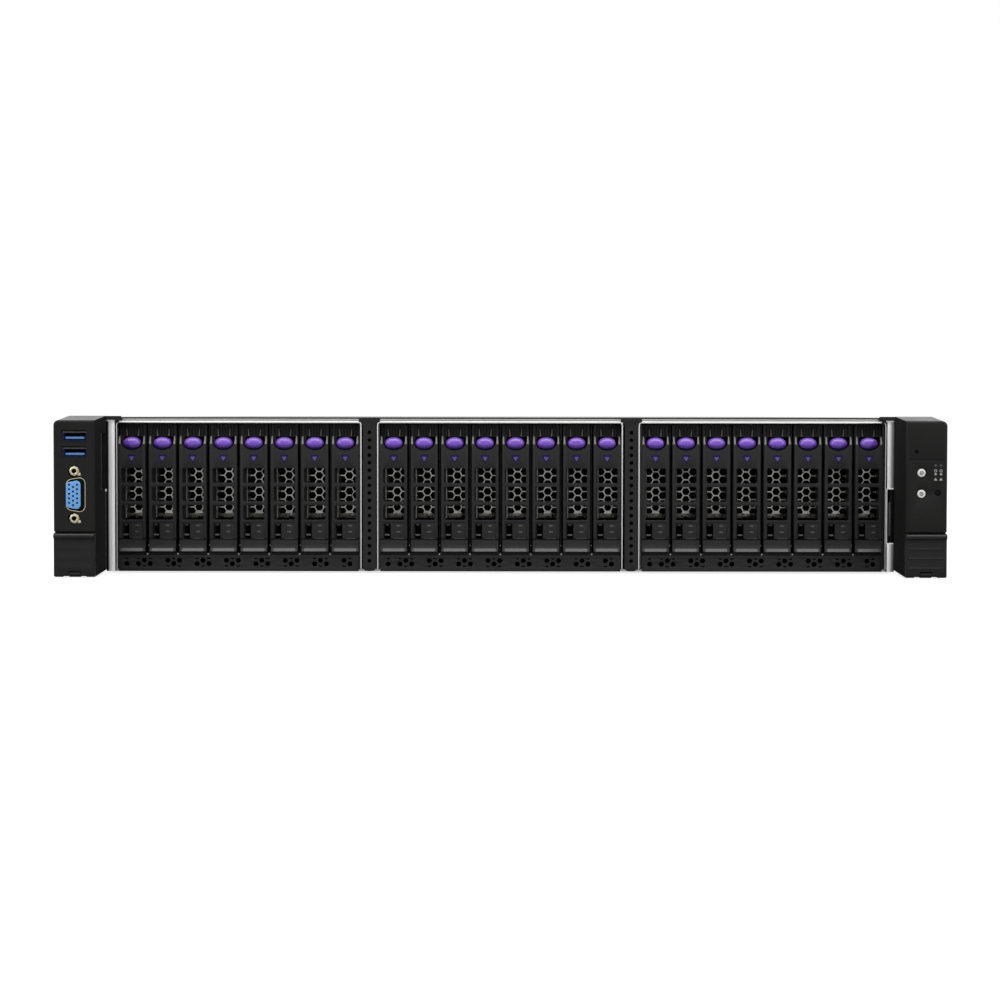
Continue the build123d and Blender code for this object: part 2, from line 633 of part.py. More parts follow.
def carrier_grille(open_cells):
    """Grille plate deep inside the sled's frame, behind the windows, pierced by hexagonal cells."""
    half = SLED_W / 2
    plate = rect(-half + SLED_LEFT_T, half - SLED_RIGHT_T, WINDOW_Z0 + GRILLE_LIP, WINDOW_TOP + GRILLE_MARGIN)
    if open_cells:
        column = HEX_PITCH * cos(radians(30))
        cell = RegularPolygon((HEX_PITCH - HEX_WEB) / 2, 6, major_radius=False, rotation=0)
        for i in (-1, 0, 1):
            lowest = HEX_Z0 if i else HEX_Z0 + HEX_PITCH / 2
            for j in range(HEX_ROWS):
                plate -= Pos(HEX_X + i * column, lowest + j * HEX_PITCH) * cell
    back = SLED_BACK - GRILLE_BACK
    return along_y(plate, back - GRILLE_T, back)


def drive():
    """2.5 inch drive on the tray."""
    x0 = -SLED_W / 2 + TRAY_T
    z = (SLED_Z0 + SLED_Z1) / 2
    return block(x0, x0 + DRIVE_T, DRIVE_Y0, DRIVE_Y0 + DRIVE_L, z - DRIVE_W / 2, z + DRIVE_W / 2)


# Rack ears

def ear_outline(inset=0.0):
    """Side view of an ear in (y, z): the roof slopes up and the underside rises towards the rear."""
    return make_face(Polyline(
        (-EAR_D + inset, EAR_Z0 + inset), (-FLANGE_T, EAR_Z0_REAR + inset),
        (-FLANGE_T, EAR_Z1_REAR - inset), (-EAR_D + inset, EAR_Z1 - inset), close=True
    ))


def ear_housing():
    """Moulded ear, drawn on the right: closed body above, open pocket for the rack screw below."""
    body = along_x(ear_outline(), SIDE_X, EAR_X)
    roof_edge = body.edges().filter_by(lambda e: abs(e.center().X - EAR_X) < TOUCH and e.center().Z > EAR_Z1)
    body = fillet(roof_edge, EAR_EDGE_R)
    front_edge = body.faces().sort_by(Axis.Y)[0].edges()
    body = chamfer(front_edge, EAR_FRONT_R)
    cavity = along_x(ear_outline(EAR_WALL), SIDE_X + EAR_WALL, EAR_X - EAR_WALL)
    cavity -= block(SIDE_X, EAR_X, -EAR_D, 0, EAR_SPLIT - EAR_FLOOR_T, EAR_SPLIT + EAR_FLOOR_T)
    body -= cavity
    body -= block(SIDE_X, EAR_X, -EAR_D, CHEEK_Y, 0, EAR_SPLIT)
    lug_x = (SIDE_X + EAR_X) / 2
    lug = rect(DOOR_AXIS_Y, CHEEK_Y + EAR_WALL, DOOR_AXIS_Z - KNUCKLE_R, DOOR_AXIS_Z + KNUCKLE_R)
    lug += Pos(DOOR_AXIS_Y, DOOR_AXIS_Z) * Circle(KNUCKLE_R)
    body += along_x(lug, lug_x - LUG_W / 2, lug_x + LUG_W / 2)
    body += rod_x(DOOR_AXIS_Y, DOOR_AXIS_Z, DOOR_PIN_R, SIDE_X + EAR_WALL, EAR_X - EAR_WALL)
    return body


def ear_bracket():
    """Steel bracket of an ear, drawn on the right: rack flange and the arm along the side wall."""
    flange = rect(SIDE_X, EAR_X, EAR_Z0_REAR, CHASSIS_H)
    flange -= Pos(RACK_HOLE_SPACING / 2, RACK_HOLE_Z) * Circle(RACK_HOLE_R)
    arm = block(SIDE_X, SIDE_X + ARM_T, 0, ARM_L, ARM_MARGIN, CHASSIS_H - ARM_MARGIN)
    hook = block(SIDE_X - HOOK_W, SIDE_X + ARM_T, -HOOK_GAP - HOOK_T, -HOOK_GAP,
                 CHASSIS_H - HOOK_DROP, CHASSIS_H + HOOK_RISE)
    return along_y(flange, -FLANGE_T, 0) + arm + hook


def d_shape(length, width, r):
    """D-shaped connector outline, long side upright, narrow side outboard, corners cut."""
    slope = width * sin(radians(VGA_SLANT))
    outline = Polyline(
        (-width / 2, -length / 2 + slope), (-width / 2, length / 2 - slope),
        (width / 2, length / 2), (width / 2, -length / 2), close=True
    )
    face = make_face(outline)
    return chamfer(face.vertices(), r)


def ear_left():
    """Left ear with openings for two USB ports and the VGA port, and its bracket."""
    body = mirrored(ear_housing())
    for z in USB_Z:
        body -= block(-USB_X - USB_W / 2 - PORT_GAP, -USB_X + USB_W / 2 + PORT_GAP, -EAR_D, -EAR_D + USB_L,
                      z - USB_H / 2 - PORT_GAP, z + USB_H / 2 + PORT_GAP)
    opening = Pos(-VGA_X, VGA_Z) * d_shape(VGA_L + 2 * PORT_GAP, VGA_W + 2 * PORT_GAP, VGA_R)
    for side in (-1, 1):
        opening += Pos(-VGA_X, VGA_Z + side * JACK_SPACING / 2) * Circle(JACK_AF / 2 + JACK_CLEARANCE + PORT_GAP)
    body -= along_y(opening, -EAR_D, -EAR_D + EAR_WALL)
    cut_top = EAR_Z1 - CHEEK_CUT_DROP
    body -= block(-SIDE_X - EAR_WALL, -SIDE_X, -CHEEK_CUT_Y, -FLANGE_T, cut_top - CHEEK_CUT_H, cut_top)
    return body, mirrored(ear_bracket())


def key_places():
    """Place and radius of each button on the right ear."""
    return [(KEY_X, EAR_Z1 - POWER_DROP, KEY_R), (KEY_X, EAR_Z1 - ID_DROP, KEY_R),
            (RESET_X, EAR_Z1 - RESET_DROP, RESET_R)]


def ear_right():
    """Right ear with the button holes and the groove above them, and its bracket."""
    body = ear_housing()
    for x, z, r in key_places():
        body -= rod_y(x, z, r + KEY_GAP, -EAR_D, -EAR_D + EAR_WALL)
    groove_z = EAR_Z1 - GROOVE_DROP
    body -= block(SIDE_X + EAR_WALL, EAR_X - EAR_WALL, -EAR_D, -EAR_D + GROOVE_DEPTH,
                  groove_z - GROOVE_H / 2, groove_z + GROOVE_H / 2)
    return body, ear_bracket()


def ear_key(x, z, r, proud):
    """Round button with a square flange that holds it behind the ear's front wall."""
    back = -EAR_D + EAR_WALL + SLIDE_GAP
    key = rod_y(x, z, r, -EAR_D - proud, back)
    half = r + KEY_FLANGE
    return key + block(x - half, x + half, back, back + KEY_FLANGE, z - half, z + half)


def rack_door():
    """Flip-down door over the rack screw, drawn on the right, hinged on the pin at its foot."""
    y0, y1 = -EAR_D, -EAR_D + DOOR_T
    door = block(SIDE_X, EAR_X, y0, y1, DOOR_Z0, DOOR_TOP)
    ledge = Polyline(
        (y0, DOOR_TOP - DOOR_LEDGE_H - DOOR_LEDGE_PROUD / 2), (y0 - DOOR_LEDGE_PROUD, DOOR_TOP - DOOR_LEDGE_H),
        (y0 - DOOR_LEDGE_PROUD, DOOR_TOP - DOOR_LEDGE_H / 3), (y0, DOOR_TOP), close=True
    )
    door += along_x(make_face(ledge), SIDE_X, EAR_X)
    for x0 in (SIDE_X + DOOR_GAP, EAR_X - DOOR_GAP - KNUCKLE_L):
        door += rod_x(DOOR_AXIS_Y, DOOR_AXIS_Z, KNUCKLE_R, x0, x0 + KNUCKLE_L)
    for z in RIDGE_Z:
        ridge = Polyline((y0, z - RIDGE_H), (y0 - RIDGE_H, z), (y0, z + RIDGE_H), close=True)
        door += along_x(make_face(ridge), SIDE_X + EAR_WALL, EAR_X - EAR_WALL)
    lug_x = (SIDE_X + EAR_X) / 2
    half = LUG_W / 2 + DOOR_GAP
    door -= block(lug_x - half, lug_x + half, y0 - DOOR_LEDGE_PROUD, CHEEK_Y, 0, DOOR_AXIS_Z + KNUCKLE_R + DOOR_GAP)
    return door - rod_x(DOOR_AXIS_Y, DOOR_AXIS_Z, DOOR_PIN_R + PIN_FIT, SIDE_X, EAR_X)


def usb_port(z):
    """USB-A receptacle in the left ear: steel shell and tongue."""
    x, y0 = -USB_X, -EAR_D
    w, h = USB_W / 2, USB_H / 2
    shell = block(x - w, x + w, y0, y0 + USB_L, z - h, z + h)
    shell -= block(x - w + USB_SHELL, x + w - USB_SHELL, y0, y0 + USB_L - 2 * USB_SHELL,
                   z - h + USB_SHELL, z + h - USB_SHELL)
    tongue = block(x - USB_TONGUE_W / 2, x + USB_TONGUE_W / 2, y0 + 2 * USB_SHELL, y0 + USB_L - 2 * USB_SHELL,
                   z, z + USB_TONGUE_T)
    return shell, tongue


def vga_shell():
    """Steel shell of the VGA port with its flange behind the ear's wall and two jackscrews."""
    back = -EAR_D + EAR_WALL
    outer = Pos(-VGA_X, VGA_Z) * d_shape(VGA_L, VGA_W, VGA_R)
    inner = Pos(-VGA_X, VGA_Z) * d_shape(VGA_L - 2 * VGA_SHELL, VGA_W - 2 * VGA_SHELL, VGA_R - VGA_SHELL)
    plate = Pos(-VGA_X, VGA_Z) * Rectangle(VGA_PLATE_W, VGA_PLATE_L)
    shell = along_y(outer - inner, -EAR_D - VGA_PROUD, back + VGA_PLATE_T)
    pieces = [shell + along_y(plate - inner, back, back + VGA_PLATE_T)]
    for side in (-1, 1):
        nut = RegularPolygon(JACK_AF / 2, 6, major_radius=False) - Circle(JACK_HOLE_R)
        nut = Pos(-VGA_X, VGA_Z + side * JACK_SPACING / 2) * nut
        pieces.append(along_y(nut, -EAR_D - VGA_PROUD / 2, back))
    return pieces


def vga_insert():
    """Moulded pin carrier inside the VGA shell."""
    gap = VGA_SHELL + PORT_GAP / 2
    core = Pos(-VGA_X, VGA_Z) * d_shape(VGA_L - 2 * gap, VGA_W - 2 * gap, VGA_R - VGA_SHELL)
    return along_y(core, -EAR_D - VGA_PROUD / 2, -EAR_D + VGA_DEPTH)


# Inside the chassis

def fan_housing(cx):
    """Square fan frame with a round duct, and the motor cup on three struts at its outlet."""
    z = SHEET + FAN_SIZE / 2
    y1 = FAN_Y0 + FAN_D
    half = FAN_SIZE / 2
    frame = cut_cornered(cx - half, cx + half, z - half, z + half, FAN_CORNER)
    housing = along_y(frame - Pos(cx, z) * Circle(FAN_BORE_R), FAN_Y0, y1)
    spider = RegularPolygon(HUB_R, HUB_SIDES)
    for i in range(STRUTS):
        spider += Rot(0, 0, 90 + i * 360 / STRUTS) * rect(0, half - FAN_WALL / 2, -STRUT_W / 2, STRUT_W / 2)
    spider -= Circle(SHAFT_R + SHAFT_FIT)
    return housing + along_y(Pos(cx, z) * spider, y1 - CUP_L, y1)


def fan_rotor(cx):
    """Fan rotor: hub, pitched blades and the shaft that runs in the motor cup."""
    z = SHEET + FAN_SIZE / 2
    y0 = FAN_Y0 + HUB_Y0
    rotor = along_y(RegularPolygon(HUB_R, HUB_SIDES), y0, y0 + HUB_L)
    rotor += rod_y(0, 0, SHAFT_R, y0 + HUB_L, FAN_Y0 + FAN_D - SLIDE_GAP)
    root = HUB_R - BLADE_ROOT
    blade = Rot(BLADE_ANGLE, 0, 0) * Box(BLADE_R - root, BLADE_CHORD, BLADE_T)
    blade = Pos((BLADE_R + root) / 2, y0 + HUB_L / 2, 0) * blade
    for i in range(BLADES):
        rotor += Rot(0, i * 360 / BLADES, 0) * blade
    return Pos(cx, 0, z) * rotor


def bank_places():
    """Middle of each memory module: a bank on both sides of each processor."""
    first = SINK_W / 2 + BANK_GAP
    places = []
    for x in CPU_X:
        for side in (-1, 1):
            for i in range(DIMMS):
                places.append(x + side * (first + i * DIMM_PITCH))
    return places


def motherboard():
    """Main board on hexagonal standoffs, with processor and memory sockets and the rear ports."""
    pieces = [block(BOARD_X0, BOARD_X1, BOARD_Y0, BOARD_Y1, BOARD_Z, BOARD_TOP)]
    for x in (BOARD_X0 + STANDOFF_INSET, (BOARD_X0 + BOARD_X1) / 2, BOARD_X1 - STANDOFF_INSET):
        for y in (BOARD_Y0 + STANDOFF_INSET, BOARD_Y1 - STANDOFF_INSET):
            nut = Pos(x, y) * RegularPolygon(STANDOFF_AF / 2, 6, major_radius=False)
            pieces.append(along_z(nut, SHEET, BOARD_Z))
    for x in CPU_X:
        half = SINK_W / 2
        pieces.append(block(x - half, x + half, CPU_Y - half, CPU_Y + half, BOARD_TOP, BOARD_TOP + SOCKET_H))
    for x in bank_places():
        pieces.append(block(x - DIMM_SOCKET_W / 2, x + DIMM_SOCKET_W / 2, CPU_Y - DIMM_L / 2,
                            CPU_Y + DIMM_L / 2, BOARD_TOP, BOARD_TOP + DIMM_SOCKET_H))
    ports = [(x, LAN_W, LAN_H) for x in LAN_X] + [(REAR_USB_X, REAR_USB_W, REAR_USB_H)]
    for x, w, h in ports:
        port = block(x - w / 2, x + w / 2, CHASSIS_D - LAN_D, CHASSIS_D, BOARD_TOP, BOARD_TOP + h)
        port -= block(x - w / 2 + SHEET, x + w / 2 - SHEET, CHASSIS_D - LAN_D / 2, CHASSIS_D,
                      BOARD_TOP + SHEET, BOARD_TOP + h - SHEET)
        pieces.append(port)
    return pieces


def heat_sink(x):
    """Finned heat sink on a processor socket, fins along the air flow."""
    z0 = BOARD_TOP + SOCKET_H
    profile = rect(x - SINK_W / 2, x + SINK_W / 2, z0, z0 + SINK_BASE)
    step = (SINK_W - FIN_T) / (SINK_FINS - 1)
    for i in range(SINK_FINS):
        left = x - SINK_W / 2 + i * step
        profile += rect(left, left + FIN_T, z0, z0 + SINK_H)
    return along_y(profile, CPU_Y - SINK_L / 2, CPU_Y + SINK_L / 2)


def memory_modules():
    """Upright memory modules in their sockets."""
    z0 = BOARD_TOP + DIMM_SOCKET_H
    return [block(x - DIMM_T / 2, x + DIMM_T / 2, CPU_Y - DIMM_L / 2, CPU_Y + DIMM_L / 2, z0, z0 + DIMM_H)
            for x in bank_places()]


def slot_covers():
    """Blank covers of the card slots, inside the rear wall."""
    covers = []
    for x in SLOT_COVER_X:
        for row in range(SLOT_ROWS):
            z = SLOT_COVER_Z0 + row * SLOT_COVER_PITCH
            covers.append(block(x - SLOT_COVER_L / 2, x + SLOT_COVER_L / 2, REAR_Y - SHEET, REAR_Y,
                                z, z + SLOT_COVER_H))
    return covers


def power_supply_bay():
    """Folded wall and shelf that the two power supplies slide on."""
    x0 = PSU_X0 - 2 * PSU_GAP - SHEET
    shelf = PSU_Z[0] + PSU_H + PSU_GAP
    front = PSU_FRONT - PSU_BAY_LEAD
    bay = block(x0, x0 + SHEET, front, REAR_Y, SHEET, ROOF_Z - SHEET)
    return bay + block(x0, SIDE_X - SHEET - PSU_GAP, front, REAR_Y, shelf, shelf + SHEET)


def power_supply(z0):
    """Hot-swap power supply: case, recessed mains inlet and a bail handle."""
    psu = block(PSU_X0, PSU_X0 + PSU_W, PSU_FRONT, CHASSIS_D, z0, z0 + PSU_H)
    inlet_x = PSU_X0 + PSU_INLET_X
    z = z0 + PSU_H / 2
    psu -= block(inlet_x - PSU_INLET_W / 2, inlet_x + PSU_INLET_W / 2, CHASSIS_D - PSU_INLET_DEPTH, CHASSIS_D,
                 z - PSU_INLET_H / 2, z + PSU_INLET_H / 2)
    right = PSU_X0 + PSU_W - PSU_HANDLE_INSET
    left = right - PSU_HANDLE_L
    grip = rect(left, right, CHASSIS_D, CHASSIS_D + PSU_HANDLE_D)
    grip -= rect(left + PSU_HANDLE_W, right - PSU_HANDLE_W, CHASSIS_D, CHASSIS_D + PSU_HANDLE_D - PSU_HANDLE_W)
    return psu + along_z(grip, z - PSU_HANDLE_W / 2, z + PSU_HANDLE_W / 2)


def write_carriers():
    """One node for each carrier. The outer two also have lever and button as nodes of their own."""
    for number, x in enumerate(BAY_X, start=1):
        name = f"drive_carrier_{number:02d}"
        outer = number in (1, len(BAY_X))
        at = Pos(x, 0, 0)
        lever, button = at * carrier_lever(outer), at * carrier_button()
        fixed = [at * carrier_sled(outer), at * carrier_grille(outer), at * drive()]
        if outer:
            save(name, *fixed)
            save(f"carrier_lever_{number:02d}", lever)
            save(f"carrier_button_{number:02d}", button)
        else:
            save(name, *fixed, lever, button)


def main():
    os.makedirs("parts", exist_ok=True)
    save("chassis_tub", chassis_tub())
    save("front_roof", front_roof())
    save("top_cover", top_cover())
    save("rear_panel", rear_panel())
    for name, cx in zip(("left", "middle", "right"), CAGE_X):
        save(f"drive_cage_{name}", drive_cage(cx))
    save("divider_posts", *[divider_post(x) for x in TRIM_X])
    save("front_sills", *[front_sill(cx) for cx in CAGE_X])
    save("drive_backplanes", *[piece for cx in CAGE_X for piece in drive_backplane(cx)])
    write_carriers()
    save("ear_left", *ear_left())
    save("ear_right", *ear_right())
    save("rack_door_right", rack_door())
    save("rack_door_left", mirrored(rack_door()))
    save("usb_ports", *[piece for z in USB_Z for piece in usb_port(z)])
    save("vga_shell", *vga_shell())
    save("vga_insert", vga_insert())
    for name, (x, z, r) in zip(("power", "id", "reset"), key_places()):
        save(f"{name}_button", ear_key(x, z, r, -RESET_SUNK if name == "reset" else KEY_PROUD))
    save("fan_housings", *[fan_housing(x) for x in FAN_X])
    for number, x in enumerate(FAN_X, start=1):
        save(f"fan_rotor_{number}", fan_rotor(x))
    save("motherboard", *motherboard())
    save("heat_sinks", *[heat_sink(x) for x in CPU_X])
    save("memory_modules", *memory_modules())
    save("slot_covers", *slot_covers())
    save("power_supply_bay", power_supply_bay())
    for number, z in enumerate(PSU_Z, start=1):
        save(f"power_supply_{number}", power_supply(z))


main()
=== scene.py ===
# %% [markdown]
# # A rack server with twenty-four front drives
#
# The object is a flat steel chassis, two rack units high, seen from the front. Three cages hold
# eight upright drive carriers each, and a moulded ear at each side covers the rack screws.
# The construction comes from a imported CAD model, which this script loads as a fixed frame. Blender
# adds what the eye reads as real: rounded edges, pierced sheet, domed buttons and finishes.

import json
from math import atan2, cos, pi, radians, sin

import bmesh
import bpy
from mathutils import Matrix, Vector

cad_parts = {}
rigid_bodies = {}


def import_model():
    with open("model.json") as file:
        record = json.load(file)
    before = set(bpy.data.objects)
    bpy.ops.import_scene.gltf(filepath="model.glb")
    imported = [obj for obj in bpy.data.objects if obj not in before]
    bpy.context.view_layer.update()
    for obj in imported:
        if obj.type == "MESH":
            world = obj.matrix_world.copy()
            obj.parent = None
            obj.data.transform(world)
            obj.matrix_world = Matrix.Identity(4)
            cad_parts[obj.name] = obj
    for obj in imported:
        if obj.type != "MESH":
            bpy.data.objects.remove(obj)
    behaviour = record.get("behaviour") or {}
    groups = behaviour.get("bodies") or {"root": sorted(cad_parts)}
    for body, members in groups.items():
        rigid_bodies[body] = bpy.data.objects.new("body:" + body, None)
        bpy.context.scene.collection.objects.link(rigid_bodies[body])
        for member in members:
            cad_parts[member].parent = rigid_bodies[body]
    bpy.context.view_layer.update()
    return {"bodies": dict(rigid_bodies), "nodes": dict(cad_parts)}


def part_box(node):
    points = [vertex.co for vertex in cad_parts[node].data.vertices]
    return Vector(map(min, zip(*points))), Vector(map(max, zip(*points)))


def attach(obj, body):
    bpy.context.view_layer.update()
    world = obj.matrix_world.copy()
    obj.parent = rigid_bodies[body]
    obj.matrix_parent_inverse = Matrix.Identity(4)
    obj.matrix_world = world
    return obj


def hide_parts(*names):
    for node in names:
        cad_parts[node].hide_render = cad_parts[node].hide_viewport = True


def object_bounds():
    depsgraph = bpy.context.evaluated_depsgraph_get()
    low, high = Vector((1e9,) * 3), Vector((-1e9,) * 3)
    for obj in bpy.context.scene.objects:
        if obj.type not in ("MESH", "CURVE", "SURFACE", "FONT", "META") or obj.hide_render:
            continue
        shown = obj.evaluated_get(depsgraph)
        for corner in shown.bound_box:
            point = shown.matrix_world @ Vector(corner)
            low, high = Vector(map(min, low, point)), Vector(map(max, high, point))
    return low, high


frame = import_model()
NODES = frame["nodes"]

# %% [markdown]
# A maker of sheet metal thinks in millimetres, measured up from the underside. The pieces below
# are drawn that way, and each finished drawing is then moved into the frame, which is in metres and
# has its origin between the two rack screw holes. Places that matter are read from the frame.

# %% Drawing units
MM = 0.001
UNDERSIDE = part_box("chassis_tub")[0].z
TO_FRAME = Matrix.Translation((0.0, 0.0, UNDERSIDE)) @ Matrix.Scale(MM, 4)
TO_DRAWING = TO_FRAME.inverted()


def drawn_box(node):
    """Lowest and highest corner of a CAD node, in drawing millimetres."""
    low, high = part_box(node)
    return TO_DRAWING @ low, TO_DRAWING @ high


tub_low, tub_high = drawn_box("chassis_tub")
print("chassis", [round(v, 1) for v in tub_high - tub_low], "mm")

# %% [markdown]
# The photograph was taken from straight in front with a long lens, a little above the chassis, so
# the roof is seen edge on. The camera goes where the ears, which stand 38 mm proud, look as much
# bigger than the rest as they do in the picture. A gentle tilt puts the front in mid-frame.

# %% Camera
CAMERA_BACK = 1300.0
CAMERA_UP = 88.0
CAMERA_SIDE = -0.25
CAMERA_TILT = radians(2.07)
CAMERA_ROLL = -0.0012        # the picture leans a little
LENS = 84.2


def in_scene(name, data):
    """A new object in the scene."""
    obj = bpy.data.objects.new(name, data)
    bpy.context.scene.collection.objects.link(obj)
    return obj


lens = bpy.data.cameras.new("camera")
lens.lens = LENS
lens.sensor_width = 36.0
camera = in_scene("camera", lens)
camera.location = TO_FRAME @ Vector((CAMERA_SIDE, -CAMERA_BACK, CAMERA_UP))
camera.rotation_euler = (pi / 2 - CAMERA_TILT, CAMERA_ROLL, 0.0)
bpy.context.scene.camera = camera
bpy.context.scene.view_settings.view_transform = "Standard"
print("camera at", [round(v, 3) for v in camera.location])

# %% [markdown]
# ## Finishes
#
# Each finish is a node material. What several finishes share, such as the grain of moulded
# plastic or the crystals of zinc, is a node group with named inputs, placed in each material with
# its own values. The groups read Object coordinates: these pieces sit at the origin with their
# place in the mesh, so the pattern stays put on every piece and in every view.

# %% A helper that builds node trees
def add(tree, kind, values=None, **settings):
    """A new node. values fills inputs by name or number: a socket links, anything else is set."""
    node = tree.nodes.new(kind)
    for name, value in settings.items():
        setattr(node, name, value)
    for key, value in (values or {}).items():
        if isinstance(value, bpy.types.NodeSocket):
            tree.links.new(value, node.inputs[key])
        else:
            node.inputs[key].default_value = value
    return node
def maths(tree, operation, *values):
    """The result of a Math node. Its values are numbers or sockets."""
    return add(tree, "ShaderNodeMath", dict(enumerate(values)), operation=operation).outputs[0]


def new_group(name, kind, inputs, outputs):
    """A node group with its sockets, its input node and its output node."""
    group = bpy.data.node_groups.new(name, kind)
    for label, socket in inputs:
        group.interface.new_socket(label, in_out="INPUT", socket_type=socket)
    for label, socket in outputs:
        group.interface.new_socket(label, in_out="OUTPUT", socket_type=socket)
    return group, group.nodes.new("NodeGroupInput"), group.nodes.new("NodeGroupOutput")


FLOAT, COLOUR, VECTOR = "NodeSocketFloat", "NodeSocketColor", "NodeSocketVector"
FINISH_SOCKETS = [("Color", COLOUR), ("Roughness", FLOAT), ("Height", FLOAT)]


def put_out(group, get, result, swing, rough, height):
    """Wire a group's results: the base made lighter and darker, the roughness and the relief."""
    level = maths(group, "ADD", swing, 1.0)
    tone = add(group, "ShaderNodeVectorMath", {0: get["Base"], "Scale": level}, operation="SCALE")
    for name, value in (("Color", tone.outputs[0]), ("Roughness", rough), ("Height", height)):
        group.links.new(value, result.inputs[name])
    print("group", group.name)
    return group


# %% [markdown]
# Moulded plastic has a fine spark-eroded grain and is never quite even: it flows, cools and gets
# touched. One fast noise gives the grain, and one slow noise shifts the tone and the gloss.

# %% Group for moulded and painted surfaces
def make_grain_group():
    """Fine grain and slow variation round a base colour."""
    group, given, result = new_group(
        "moulded_grain", "ShaderNodeTree",
        [("Base", COLOUR), ("Grain", FLOAT), ("Variation", FLOAT), ("Gloss", FLOAT)], FINISH_SOCKETS)
    get = given.outputs
    place = add(group, "ShaderNodeTexCoord").outputs["Object"]
    fine = add(group, "ShaderNodeTexNoise", {"Vector": place, "Scale": get["Grain"], "Detail": 3.0})
    slow = add(group, "ShaderNodeTexNoise", {"Vector": place, "Scale": 38.0, "Detail": 4.0})
    centred = maths(group, "SUBTRACT", slow.outputs["Fac"], 0.5)
    swing = maths(group, "MULTIPLY", centred, get["Variation"])
    speck = maths(group, "MULTIPLY", fine.outputs["Fac"], 0.12)
    rough = maths(group, "ADD", maths(group, "ADD", get["Gloss"], speck), swing)
    return put_out(group, get, result, swing, rough, fine.outputs["Fac"])


GRAIN = make_grain_group()

# %% [markdown]
# Hot-dip zinc sets in flat crystals a few millimetres wide, each a slightly different grey. A
# Voronoi texture has just such cells, and its random cell colour gives each one its tone. Fine
# streaks along the rolling direction come from a noise stretched along X.

# %% Group for galvanised steel
def make_zinc_group():
    """Crystal pattern and rolling streaks round a base colour."""
    group, given, result = new_group(
        "zinc_crystals", "ShaderNodeTree",
        [("Base", COLOUR), ("Crystals", FLOAT), ("Contrast", FLOAT), ("Gloss", FLOAT), ("Streaks", VECTOR)],
        FINISH_SOCKETS)
    get = given.outputs
    place = add(group, "ShaderNodeTexCoord").outputs["Object"]
    warp = add(group, "ShaderNodeTexNoise", {"Vector": place, "Scale": 160.0, "Detail": 2.0})
    bent = add(group, "ShaderNodeMixRGB", {"Fac": 0.02, "Color1": place, "Color2": warp.outputs["Color"]})
    cells = add(group, "ShaderNodeTexVoronoi", {"Vector": bent.outputs[0], "Scale": get["Crystals"]})
    grey = add(group, "ShaderNodeSeparateColor", {0: cells.outputs["Color"]}).outputs[0]
    stretch = add(group, "ShaderNodeMapping", {"Vector": place, "Scale": get["Streaks"]}).outputs[0]
    streaks = add(group, "ShaderNodeTexNoise", {"Vector": stretch, "Scale": 2.0, "Detail": 3.0})
    both = maths(group, "ADD", grey, streaks.outputs["Fac"])
    swing = maths(group, "MULTIPLY", maths(group, "SUBTRACT", both, 1.0), get["Contrast"])
    rough = maths(group, "ADD", get["Gloss"], swing)
    return put_out(group, get, result, swing, rough, streaks.outputs["Fac"])


ZINC = make_zinc_group()

# %% [markdown]
# A material places a group, hands it a colour and sizes, and wires its outputs to a Principled
# shader. Whatever is the same all over, such as specular level or coat, is set on the shader.

# %% Materials
def finish(name, group, base, values, bump=0.15, metallic=0.0, specular=0.5, coat=0.0, emission=0.0):
    """A material fed by one of the groups. base is a colour, or one number for a plain grey."""
    base = (*base, 1.0) if isinstance(base, tuple) else (base, base, base, 1.0)
    material = bpy.data.materials.new(name)
    material.use_nodes = True
    tree = material.node_tree
    shader = tree.nodes["Principled BSDF"]
    pattern = add(tree, "ShaderNodeGroup")
    pattern.node_tree = group
    pattern.inputs["Base"].default_value = base
    for key, value in values.items():
        pattern.inputs[key].default_value = value
    relief = add(tree, "ShaderNodeBump", {
        "Height": pattern.outputs["Height"], "Strength": bump, "Distance": 0.0002})
    tree.links.new(pattern.outputs["Color"], shader.inputs["Base Color"])
    tree.links.new(pattern.outputs["Roughness"], shader.inputs["Roughness"])
    tree.links.new(relief.outputs["Normal"], shader.inputs["Normal"])
    shader.inputs["Metallic"].default_value = metallic
    shader.inputs["Specular IOR Level"].default_value = specular
    shader.inputs["Coat Weight"].default_value = coat
    shader.inputs["Coat Roughness"].default_value = 0.06
    if emission:
        shader.inputs["Emission Color"].default_value = base
        shader.inputs["Emission Strength"].default_value = emission
    return material


def plastic(name, base, gloss=0.45, grain=2600.0, variation=0.25, **more):
    """Moulded plastic, paint or rubber."""
    return finish(name, GRAIN, base, {"Grain": grain, "Variation": variation, "Gloss": gloss}, **more)


def steel(name, base, gloss=0.32, crystals=130.0, contrast=0.1, streaks=(6.0, 160.0, 160.0), **more):
    """Bare or plated metal. Its rolling streaks run along the axis with the smallest streak scale."""
    values = {"Crystals": crystals, "Contrast": contrast, "Gloss": gloss, "Streaks": streaks}
    return finish(name, ZINC, base, values, metallic=1.0, bump=0.03, **more)
